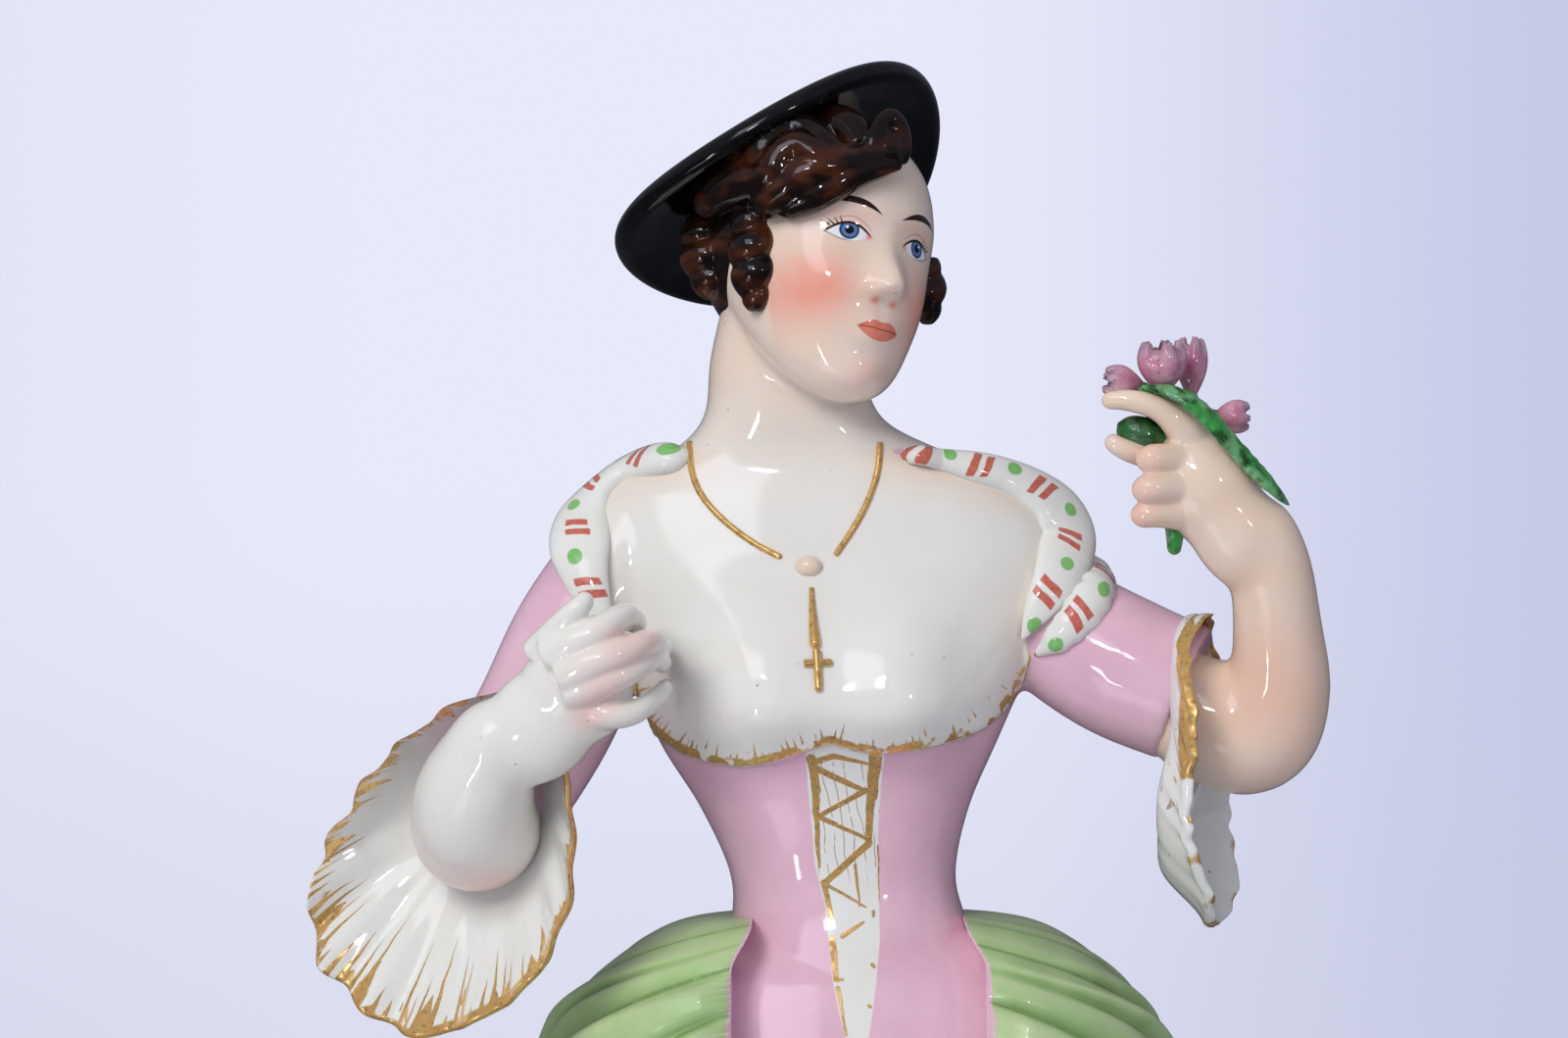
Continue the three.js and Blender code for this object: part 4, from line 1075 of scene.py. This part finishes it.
hair = {
    "cap": ([0, 3.2, 3.4], [13.6, 13.6, 15.2]),
    # rolls of waved hair: pixel of the photograph, depth, and radius in millimetres
    "rolls": [
        [(918, 166, -12.8, 0.9), (897, 170, -14, 1.4), (872, 178, -15.2, 1.7), (850, 189, -15.8, 2.0),
         (830, 199, -15.8, 2.1), (810, 208, -15.2, 2.0), (797, 220, -14.4, 1.5)],
        [(900, 158, -13, 1.6), (876, 166, -14.4, 2.0), (852, 170, -15.4, 2.3), (828, 176, -15.8, 2.5),
         (806, 190, -15.4, 2.5), (788, 204, -14.4, 2.3), (776, 216, -13, 2.0)],
        [(872, 160, -13.8, 1.6), (852, 160, -14.6, 2.0), (838, 150, -14.2, 2.2), (826, 137, -12.6, 2.2),
         (808, 130, -11.6, 2.3), (792, 138, -12, 2.4), (780, 154, -12.8, 2.4), (766, 172, -12.4, 2.4)],
        [(842, 172, -16.4, 1.8), (830, 158, -16, 2.0), (814, 150, -15, 2.1), (799, 158, -14.8, 2.2),
         (788, 176, -15, 2.3), (774, 194, -13.8, 2.2)],
        [(784, 164, -12.4, 2.2), (758, 164, -10.4, 2.4), (738, 170, -8.6, 2.4), (722, 184, -7, 2.0),
         (711, 197, -6, 1.2)],
        [(786, 184, -14.4, 2.4), (762, 186, -12.6, 2.6), (742, 192, -10.6, 2.5), (726, 204, -8.4, 2.1),
         (714, 214, -6.4, 1.5)],
        [(890, 166, -14, 1.3), (891, 146, -13.6, 1.2), (898, 127, -12.4, 1.2), (909, 120, -11.6, 1.2),
         (918, 132, -11.6, 1.2), (921, 152, -12, 1.1), (918, 168, -12.6, 0.9)],
        [(904, 162, -13.2, 1.8), (906, 146, -12.6, 1.7), (908, 134, -11.8, 1.2)],
        [(880, 154, -12.8, 2.2), (868, 136, -10.6, 2.6), (848, 128, -9, 2.8), (830, 134, -9.6, 2.4)],
    ],
    # the hair at the back and at her left temple: points in millimetres, and radii
    "behind": [([[4, -3.4, 269.4], [6, 1, 265.4], [6.8, 4, 260.4], [6.4, 7, 255]], [1.8, 2.2, 2.4, 2.2]),
               ([[-17.5, 2, 262], [-17, 7, 260], [-14, 12, 257], [-8, 15.5, 255]], [2.6, 3, 3.2, 3]),
               ([[7, 8, 262], [4, 12, 259], [-1, 15.5, 256]], [2.6, 3, 3])],
    # ringlets: pixel and depth where they hang from, the same where they end, and their radius
    "ringlets": [((717, 220, -2), (727, 306, -3), 3.1), ((768, 208, -10.5), (772, 318, -12.5), 3.0),
                 ((945, 262, 3.4), (946, 331, 2.6), 2.2), ((744, 206, -5), (742, 262, -5), 1.7)],
    "turnsPerLength": 0.26, "grain": 0.26, "softening": 4,
}


# a hanging curl: radius = r sqrt(sin(pi(0.1 + 0.88 t))) (0.84 + 0.3 |cos(w / 2)|^0.6), and w winds down it
def ringletShape(top, bottom, radius):
    angle, t = ringOf(64), sharesOf(130)
    top, bottom = atDepth([top, bottom])
    axis = top + t * (bottom - top)
    winding = hair["turnsPerLength"] * np.linalg.norm(bottom - top) * turn * t + angle
    bulge = 0.84 + 0.3 * np.abs(np.cos(winding / 2)) ** 0.6
    wide = radius * np.sqrt(np.sin(math.pi * (0.1 + 0.88 * t))) * bulge
    rings = axis[:, None] + surface(wide * np.cos(angle), wide * np.sin(angle), 0.0)
    return closedGrid(rings)


hairShapes = [pebble(onHead(hair["cap"][0]), hair["cap"][1], [0, 0, 1], 90, 80)]
hairShapes += [limb(atDepth(roll), [row[3] for row in roll], 40, 110) for roll in hair["rolls"]]
hairShapes += [limb(path, radii, 40, 110) for path, radii in hair["behind"]]
hairShapes += [ringletShape(*ringlet) for ringlet in hair["ringlets"]]
hairPiece = fired("hair", hairShapes, hair["grain"], hair["softening"])


# nearly black, thinning to red-brown in brushed streaks where the glaze ran off the ridges
def hairGlaze():
    graph = Graph("hairGlaze")
    streaked = graph.node("ShaderNodeMapping", {}, {"Vector": graph.place(), "Rotation": (0.3, 0.7, 0.2),
                                                    "Scale": (1.0, 0.5, 1.9)})
    thin = graph.above(graph.noise(5.5, 2.0, streaked), 0.54, 0.22)
    streak = graph.noise(1.2, 3.0, streaked)
    height = graph.height()
    lower = graph.below(height, 269.0, 6.0) * 0.75 + 0.15
    colour = graph.mix(thin * lower * (0.55 + 0.45 * streak), tints["hair"], tints["hairLight"])
    return glazed(graph, colour, relief=graph.noise(1.6, 1.0, streaked) * 0.12, rippleScale=0.5)


hairPiece.data.materials.append(hairGlaze())
print("hair ready")

hat = {
    "radius": 22, "thickness": 3, "crownRadius": 12, "crownHeight": 4, "lift": 2.5, "liftFrom": -0.11,
    "centre": [-7.7, 5.5, 264.9], "up": [-0.422, 0.451, 0.786],
}


# a quadratic curve from a to c, pulled towards b
def bend(a, b, c, t):
    t = t[:, None]
    return (1 - t) ** 2 * np.array(a) + 2 * t * (1 - t) * np.array(b) + t ** 2 * np.array(c)


# the outline of brim and crown spun round, then raised at two sides by lift (r / radius)^2 cos 2a
def hatShape():
    h, half = hat, hat["thickness"] / 2
    t = np.linspace(0, 1, 40)
    line = lambda a, b: blend(np.array(a), np.array(b), t[:, None])
    arc = np.stack([h["radius"] - half + half * np.sin(math.pi * t), -half * np.cos(math.pi * t)], -1)
    outline = np.concatenate([
        line((0.05, -half), (h["radius"] - 3 * half, -half * 0.8)), arc,
        line((h["radius"] - 3 * half, half), (h["crownRadius"] + 1.5, half)),
        bend((h["crownRadius"] + 1.5, half), (h["crownRadius"], half), (h["crownRadius"] - 0.5, half + 2), t),
        bend((h["crownRadius"] - 0.5, half + 2), (h["crownRadius"] - 1, half + h["crownHeight"]),
             (0.05, half + h["crownHeight"]), t)])
    run = runOf(outline)
    even = np.linspace(0, run[-1], 230)
    radius, high = np.interp(even, run, outline[:, 0])[:, None], np.interp(even, run, outline[:, 1])[:, None]
    angle = ringOf(300)
    raised = h["lift"] * (radius / h["radius"]) ** 2 * np.cos(2 * (angle - h["liftFrom"]))
    flat = surface(radius * np.cos(angle), radius * np.sin(angle), high + raised)
    up = unit(np.array(h["up"]))
    aside = unit(np.cross([0, 1, 0], up))
    return closedGrid(flat @ np.stack([aside, np.cross(up, aside), up]) + h["centre"])


hatPiece = pieceFrom("hat", hatShape())


# black glaze, pitted here and there, thin and greyish in patches
def hatGlaze():
    graph = Graph("hatGlaze")
    thin = graph.patches(6.0, 4.0, 0.62, 0.2)
    colour = graph.mix(thin * 0.35, tints["black"], shade("#2a2420"))
    pits = graph.patches(1.1, 1.0, 0.74, 0.06)
    return glazed(graph, colour, relief=pits * -1.2, rippleScale=1.6)


hatPiece.data.materials.append(hatGlaze())
print("hat ready")

posy = {
    # tulips: pixel and depth of the foot, the way it points, height and radius in millimetres
    "tulips": [((1187, 402, -14.5), [-0.06, -0.1, 1], 6.2, 3.0), ((1216, 408, -11), [0.0, 0.2, 1], 7.4, 1.9),
               ((1168, 393, -14), [-1, -0.1, 0.12], 4.8, 2.0), ((1238, 424, -12), [1, 0.1, 0.0], 4.2, 2.0)],
    "heart": [39.6, -12, 234.6], "petals": 5, "wall": 0.7,
    "leaf": [(1164, 394, -16.6), (1190, 398, -17.4), (1215, 410, -17.8), (1237, 430, -17.6),
             (1257, 453, -17.2), (1278, 476, -16.6), (1298, 497, -15.8), (1316, 516, -14.6)],
    "leafHalf": 1.5, "leafThick": 0.75, "held": [(1164, 443, -13.6), (1140, 432, -14)],
    "stem": [(1200, 500, -13), (1199, 540, -13.4), (1198, 566, -13.6)],
}


# a cup: radius sin(pi(0.04 + 0.7 up)) with lobed petals, up its outside and down its inside, its lip notched
def tulipShape(foot, way, height, radius):
    foot = atDepth([foot])[0]
    angle, v = ringOf(120), sharesOf(90)
    inside = ease(v, 0.58, 0.62)
    up = np.where(v > 0.6, (1 - v) / 0.4, v / 0.6)
    swell = np.sin(math.pi * (0.04 + 0.7 * up)) - inside * posy["wall"] / radius
    lobes = np.cos(posy["petals"] * angle)
    notch = np.abs(((posy["petals"] * 3 * angle / turn) % 1) - 0.5) * 2
    out = radius * np.maximum(swell, 0.02) * (1 + 0.1 * lobes * up)
    high = blend(up, 0.25 + 0.75 * up, inside) * height * (1 + (0.08 * lobes - 0.07 * notch) * up ** 3)
    cup = surface(out * np.cos(angle), out * np.sin(angle), high)
    return closedGrid(cup @ turnedTo(way) + foot), np.append((up + 0 * angle).ravel(), [0, 0])


cups = [tulipShape(*tulip) for tulip in posy["tulips"]]
tulipPiece = pieceFrom("tulips", together([cup for cup, _ in cups]),
                       {"petalUp": np.concatenate([up for _, up in cups])})


# rose petals, greyer at their lips
def petalGlaze():
    graph = Graph("petalGlaze")
    up = graph.mark("petalUp")
    colour = graph.mix(graph.patches(2.2, 3.0, 0.5, 0.4), tints["petal"], tints["petalDeep"])
    colour = graph.mix(graph.above(up + graph.noise(1.2) * 0.3, 0.98, 0.4) * 0.6, colour, tints["petalEdge"])
    speck = graph.patches(0.45, 1.0, 0.72, 0.06)
    colour = graph.mix(speck * 0.7, colour, tints["grime"])
    return glazed(graph, colour, relief=graph.noise(0.8) * 0.4)


tulipPiece.data.materials.append(petalGlaze())


# a long leaf with a sawn edge: half width (0.7 + 0.4 sin pi t)(0.86 + 0.2 saw) times its own
def leafShape():
    along = 300
    t = np.linspace(0, 1, along)
    saw = np.abs((t * 13 + 0.3 * np.sin(t * 17)) % 1 - 0.5) * 2
    half = posy["leafHalf"] * (0.7 + 0.4 * np.sin(math.pi * t)) * (0.86 + 0.2 * saw)
    outward = lambda points: np.tile([0.5, -0.6, 0.6], (len(points), 1))
    return ribbon(atDepth(posy["leaf"]), half, posy["leafThick"], outward, 40, along, 5.0)[0]


heart = np.array(posy["heart"])
stalks = [limb([heart, atDepth([foot])[0] + 1.2 * unit(np.array(way, float))], [1.3, 1.3], 24, 30)
          for foot, way, _, _ in posy["tulips"]]
held = atDepth(posy["held"])
greens = [leafShape(), pebble(heart, [2.2, 2.6, 4.2], [0.6, 0, 1]),
          pebble(held[0], [2.2, 2, 3], [1, 0, -0.35]), limb([held[0], held[1]], [1.2, 0.6], 24, 30),
          limb(atDepth(posy["stem"]), [1.6, 1.3, 0.8], 28, 40)] + stalks
leafPiece = fired("leaves", greens, 0.2, 2)


# streaked leaf green, nearly black where the colour pooled, with brown flecks along the rim
def leafGlaze():
    graph = Graph("leafGlaze")
    pooled = graph.patches(2.2, 3.0, 0.52, 0.25)
    colour = graph.mix(pooled, tints["leaf"], tints["leafDeep"])
    colour = graph.mix(graph.patches(3.4, 2.0, 0.56, 0.12) * 0.55, colour, tints["leafPale"])
    colour = graph.mix(graph.patches(0.9, 2.0, 0.64, 0.06) * 0.6, colour, shade("#6b5a1c"))
    colour = graph.mix(graph.bell(graph.fromPoint(held[0]), 3.0) * 0.85, colour, shade("#15301a"))
    return glazed(graph, colour, relief=graph.noise(0.9, 3.0) * 0.6)


leafPiece.data.materials.append(leafGlaze())
print("posy ready")


# the height at t down the skirt, how far its dome has spread, and its half width there
def skirtRow(t):
    f = skirtForm
    spread = t ** f["domeSides"] * (1 - f["narrowing"] * (1 - t) * t)
    return waistHeight - f["height"] * t, spread, blend(f["half"], f["hemHalf"], spread)


# how far a fold at an angle from the front has been drawn back, at t down the skirt
def drawnBack(fromFront, t):
    sweep = skirtForm["sweep"] * (1 - np.exp(-t / skirtForm["sweepEnd"]))
    return sweep * (1 - ease(fromFront, 1.2, math.pi))


# the angle at which a fold lies: where angle - drawnBack(angle) is the fold, found by halving
def foldAngle(fold, t):
    low, high = np.zeros(np.broadcast(fold, t).shape), np.full(np.broadcast(fold, t).shape, math.pi)
    for _ in range(26):
        middle = (low + high) / 2
        short = middle - drawnBack(middle, t) < fold
        low, high = np.where(short, middle, low), np.where(short, high, middle)
    return low


# a domed bell whose folds sweep round from its open front; t runs down it and a fold keeps its column
def skirtSide(fold, t, side):
    f = skirtForm
    z, spread, half = skirtRow(t)
    edge = np.arcsin(np.minimum(1, openingAt(z) / half))
    angle = np.maximum(edge, foldAngle(fold, t))
    forward = np.maximum(0, np.cos(angle))
    flatter = 1 - f["flatFront"] * forward ** 2 * (1 - t) ** 1.5
    inFront = angle < math.pi / 2
    bell = blend(np.where(inFront, f["front"], f["back"]), np.where(inFront, f["hemFront"], f["hemBack"]),
                 spread * flatter)
    fade = ease(t, 0.01, 0.08) * ease(z, *f["hemFade"])
    beat = (angle - drawnBack(angle, t)) * f["folds"] / turn
    beat = beat + 0.17 * np.sin(beat * 2.2 + side) + 0.1 * np.sin(beat * 5.1 + 2 * side)
    ridge = np.abs(np.cos(beat * math.pi))
    fuller = 1 + 0.16 * np.sin(np.round(beat) * 2.7 + side)
    relief = fade * (f["cloth"] + f["depth"] * fuller * ridge ** f["ridgePower"])
    fromEdge = (angle - edge) * half
    relief = relief * blend(f["edgeRise"], 1, ease(fromEdge, 0, f["edgeRound"]))
    x, y = half * np.sin(angle), -bell * np.cos(angle)
    out = unit(np.stack([x, y], -1))
    place = np.stack([f["middle"] + side * (x + out[..., 0] * relief), y + out[..., 1] * relief,
                      z + 0.15 * relief * (1 - t)], -1)
    return place, ridge, fromEdge


# the plain panel under the opening, sunk a little behind the apron that the bodice runs into
def skirtFront(share, t):
    f = skirtForm
    z, _, half = skirtRow(t + 0 * share)
    x = share * np.minimum(half, openingAt(z))
    rounded = (1 - np.abs(x / plainHalf(z)) ** f["frontPower"]) ** (1 / f["frontPower"])
    sunk = 1.2 * ease(z, 141, 149) + 1.8 * ease(z, 166, 175)
    y = -plainDepth(z) * rounded + sunk
    return surface(f["middle"] + x, y, z), np.ones(z.shape), -(1 - np.abs(share)) * openingAt(z)


# the front panel and both sides, ring by ring from the waist to the hem, closed over at both ends
def skirtShape():
    f = skirtForm
    t = sharesOf(f["rows"]) ** 2.0
    pitch = turn / f["folds"]
    first = -math.ceil(f["sweep"] / pitch)
    columns = int((f["folds"] / 2 - first + 0.5) * f["perFold"]) + 1
    fold = np.linspace(first - 0.5, f["folds"] / 2, columns)[None, :] * pitch
    right = skirtSide(fold, t, 1)
    left = skirtSide(fold[:, ::-1][:, 1:], t, -1)
    front = skirtFront(np.linspace(-1, 1, f["frontColumns"])[None, :], t)
    rings, ridge, fromEdge = (np.concatenate(parts, 1) for parts in zip(front, right, left))
    shape = closedGrid(rings, [f["middle"], 0, waistHeight], [f["middle"], 0, waistHeight - f["height"]])
    marks = {"ridge": np.append(ridge.ravel(), [1, 1]), "fromEdge": np.append(fromEdge.ravel(), [1, 1])}
    return shape, marks


skirtGrid, skirtMarks = skirtShape()
skirtPiece = pieceFrom("skirt", skirtGrid, {**skirtMarks, **gownMarks(skirtGrid["points"]),
                                            "front": skirtGrid["points"][:, 1] < 3})
print("skirt:", len(skirtPiece.data.polygons), "faces")


# green laid over the folds, with painted shade darkening it down into the grooves and a painted highlight
# paling the ridge tops, over a plain pink front
def skirtGlaze():
    graph = Graph("skirtGlaze")
    ridge, fromEdge = graph.mark("ridge"), graph.mark("fromEdge")
    height = graph.height()
    cloud = graph.patches(7.0, 3.0, 0.5, 0.5)
    mottle = graph.noise(1.6, 3.0)
    green = graph.mix(cloud * 0.5 + mottle * 0.2, tints["green"], tints["greenDeepAndShade"])
    # painted shade: the green darkens down the sides of each fold into its groove
    green = graph.mix(graph.below(ridge + mottle * 0.2, 0.5, 0.7) * 0.45, green, tints["greenDeepAndShade"])
    # painted highlight: a paler sheen along the ridge tops
    green = graph.mix(graph.above(ridge + mottle * 0.25, 1.02, 0.25) * 0.35, green, tints["paintedSheen"])
    # painted shade: a darker crease colour in patches along the bottoms of the grooves
    grooveShade = graph.below(ridge, 0.12, 0.14) * graph.patches(2.0, 2.0, 0.36, 0.2)
    green = graph.mix(grooveShade * 0.7, green, tints["paintedCreaseShade"])
    pink, gold = bodiceColour(graph, tints["glaze"])
    inGreen = graph.above(fromEdge + (graph.noise(5.0, 1.0) - 0.5) * 0.8, 0.3, 0.35)
    colour = graph.mix(inGreen, pink, green)
    hem = graph.both(graph.above(height, 10.5, 0.2), graph.below(height, 12.2, 0.2))
    return glazed(graph, colour, graph.either(hem, gold * graph.below(fromEdge, 0.0, 0.1)), None,
                  inGreen * 0.2 + 0.08)


skirtPiece.data.materials.append(skirtGlaze())

base = {"halfX": 70, "halfY": 60, "height": 9}


# a moulded edge spun round and pressed to an oval
def baseShape():
    b, t = base, np.linspace(0, 1, 24)
    outline = np.concatenate([
        blend(np.array([0.5, 0.0]), np.array([b["halfX"] - 1.5, 0.0]), t[:, None]),
        bend((b["halfX"] - 1.5, 0), (b["halfX"], 0), (b["halfX"], 1.5), t),
        bend((b["halfX"], 1.5), (b["halfX"], b["height"] * 0.45), (b["halfX"] - 2.4, b["height"] * 0.5), t),
        bend((b["halfX"] - 2.4, b["height"] * 0.5), (b["halfX"] - 2, b["height"]),
             (b["halfX"] - 6, b["height"]), t),
        blend(np.array([b["halfX"] - 6.0, b["height"]]), np.array([0.5, b["height"]]), t[:, None])])
    angle = ringOf(360)
    radius, high = outline[:, :1], outline[:, 1:]
    return closedGrid(surface(radius * np.cos(angle), radius * np.sin(angle) * b["halfY"] / b["halfX"], high))


basePiece = pieceFrom("base", baseShape())


# white, with one gilt line round the moulding
def baseGlaze():
    graph = Graph("baseGlaze")
    height = graph.height()
    line = graph.below(abs(height + graph.noise(6.0) * 0.5 - 4.6), 0.55, 0.2)
    return glazed(graph, whiteGlaze(graph, 6.0), line)


basePiece.data.materials.append(baseGlaze())
print("skirt and base ready")

# the chain, drop and cross, as they show on the photograph, laid on the breast
necklace = {
    "rightChain": [(704, 452), (706, 480), (716, 505), (738, 530), (768, 553), (798, 569)],
    "leftChain": [(898, 452), (895, 482), (885, 512), (870, 540), (852, 567)],
    "drop": [(828, 600), (829, 625), (832, 662)], "upright": [(833, 664), (835, 706)],
    "arm": [(820, 677), (850, 676)], "knot": (825, 578),
}


# a thin raised line of gold along pixels of the photograph, laid on the skin
def goldLine(pixels, radii, proud=0.0, count=24):
    fine = readRows(np.array(pixels, float), np.linspace(0, 1, count))
    return limb([onSkin(pixel, proud) for pixel in fine], radii, 16, 120)


goldShapes = [goldLine(necklace[side], [0.42, 0.42]) for side in ("rightChain", "leftChain")]
goldShapes += [goldLine(necklace["drop"], [0.3, 0.5, 0.75], 0.1),
               goldLine(necklace["upright"], [0.55, 0.5, 0.5], 0.2),
               goldLine(necklace["arm"], [0.5, 0.45], 0.2)]
necklacePiece = pieceFrom("necklace", together(goldShapes))
necklacePiece.data.materials.append(glazed(Graph("giltGlaze"), tints["gold"], 1.0))
knotPiece = pieceFrom("knot", pebble(onSkin(necklace["knot"], 0.1), [1.6, 1.2, 1.3], [0, 0, 1]))
knotPiece.data.materials.append(armGlaze("knotGlaze", 0.9, []))
print("necklace ready")

# floor, light and camera
bpy.ops.mesh.primitive_circle_add(vertices=128, radius=1.1, fill_type="NGON")
floor = bpy.context.object
floor.name = "floor"
floorGraph = Graph("floorPaper")
floorGraph.node("ShaderNodeOutputMaterial", {}, {"Surface": floorGraph.node("ShaderNodeBsdfPrincipled", {}, {
    "Base Color": floorGraph.mix(floorGraph.noise(40.0), shade("#e2e3ee"), shade("#dcdeea")),
    "Roughness": 0.6})})
floor.data.materials.append(floorGraph.material)
floor.visible_glossy = False
floor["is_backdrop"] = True

# a pale tent, dimmer to the right and below as the camera sees it: the share of it that lights, what is taken
# from its mirrored part everywhere and low down, and the strength of two panes that only the glaze mirrors
tentLight = {"lit": 0.4, "mirroredLess": 0.17, "lowLess": 0.15, "highPane": 2.6, "lowPane": 1.6}
world = bpy.data.worlds.new("tent")
bpy.context.scene.world = world
tent = Graph("tent", world)
look = tent.node("ShaderNodeTexCoord", {}, {}, 0)
across, away, rise = (tent.node("ShaderNodeSeparateXYZ", {}, {0: look}, k) for k in range(3))
sky = tent.mix(tent.above(across, 0.082, 0.13), shade("#e7e9f9"), shade("#c4c8e4"))
sky = tent.mix(tent.below(across, -0.11, 0.08) * 0.4, sky, shade("#dbdef2"))
sky = tent.mix(tent.below(rise, -0.045, 0.11) * 0.4, sky, shade("#c6c9dc"))


# a pale pane of light in the tent between four limits across and up, with soft edges
def pane(left, right, low, high):
    limits = ((tent.above, across, left), (tent.below, across, right),
              (tent.above, rise, low), (tent.below, rise, high))
    return tent.both(*[step(way, level, 0.08) for step, way, level in limits])


panes = tent.either(pane(-0.55, -0.15, 0.4, 0.72) * tentLight["highPane"],
                    pane(-0.6, -0.3, -0.6, -0.38) * tentLight["lowPane"]) * tent.below(away, -0.2, 0.2)
seen, mirrored = (tent.node("ShaderNodeLightPath", {}, {}, name)
                  for name in ("Is Camera Ray", "Is Glossy Ray"))
less = tent.below(rise, 0.1, 0.4) * tentLight["lowLess"] + tentLight["mirroredLess"]
strength = seen + (1 - seen) * (tentLight["lit"] - mirrored * (less - panes))
tent.node("ShaderNodeOutputWorld", {}, {0: tent.node("ShaderNodeBackground", {}, {0: sky, 1: strength})})

# soft boxes and small bright lamps: place in metres, width and height, watts
lamps = {
    "leftBox": ((-0.55, -0.85, 0.8), 0.45, 0.6, 7.9), "rightBox": ((0.8, -0.5, 0.65), 0.35, 0.5, 0.8),
    "topBox": ((0.0, 0.1, 1.1), 0.7, 0.5, 1.4), "lowLamp": ((-0.45, -0.8, -0.02), 0.04, 0.2, 0.6),
    "highLamp": ((-0.2, -1.0, 0.7), 0.13, 0.06, 0.8), "sideLamp": ((0.5, -0.9, 0.45), 0.04, 0.04, 0.4),
}
aim = Vector((0, 0, 0.2))
for name, (place, wide, tall, watts) in lamps.items():
    light = bpy.data.lights.new(name, "AREA")
    light.shape, light.size, light.size_y, light.energy = "RECTANGLE", wide, tall, watts
    lamp = bpy.data.objects.new(name, light)
    lamp.location = place
    lamp.rotation_euler = (aim - Vector(place)).to_track_quat("-Z", "Y").to_euler()
    lamp.visible_glossy = name.endswith("Lamp")
    bpy.context.scene.collection.objects.link(lamp)

lens = bpy.data.cameras.new("camera")
camera = bpy.data.objects.new("camera", lens)
bpy.context.scene.collection.objects.link(camera)
camera.location = [v * mm for v in viewPoint]
camera.rotation_euler = (math.pi / 2, 0, 0)
lens.sensor_width, lens.lens = 36, 131.25    # in millimetres: 192 mm across at 700 mm
lens.clip_start, lens.clip_end = 0.05, 20
bpy.context.scene.camera = camera
bpy.context.scene.view_settings.view_transform = "Standard"

for piece in [lady, *armPieces, collarPiece, hairPiece, hatPiece, tulipPiece, leafPiece, skirtPiece,
              basePiece, necklacePiece, knotPiece, *cuffPieces]:
    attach(piece, "root")
    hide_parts("figurine")

plain = lambda box: [[float(v) for v in corner] for corner in box]
{"cad": plain(cadBox), "visual": plain(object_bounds())}
print("scene ready")
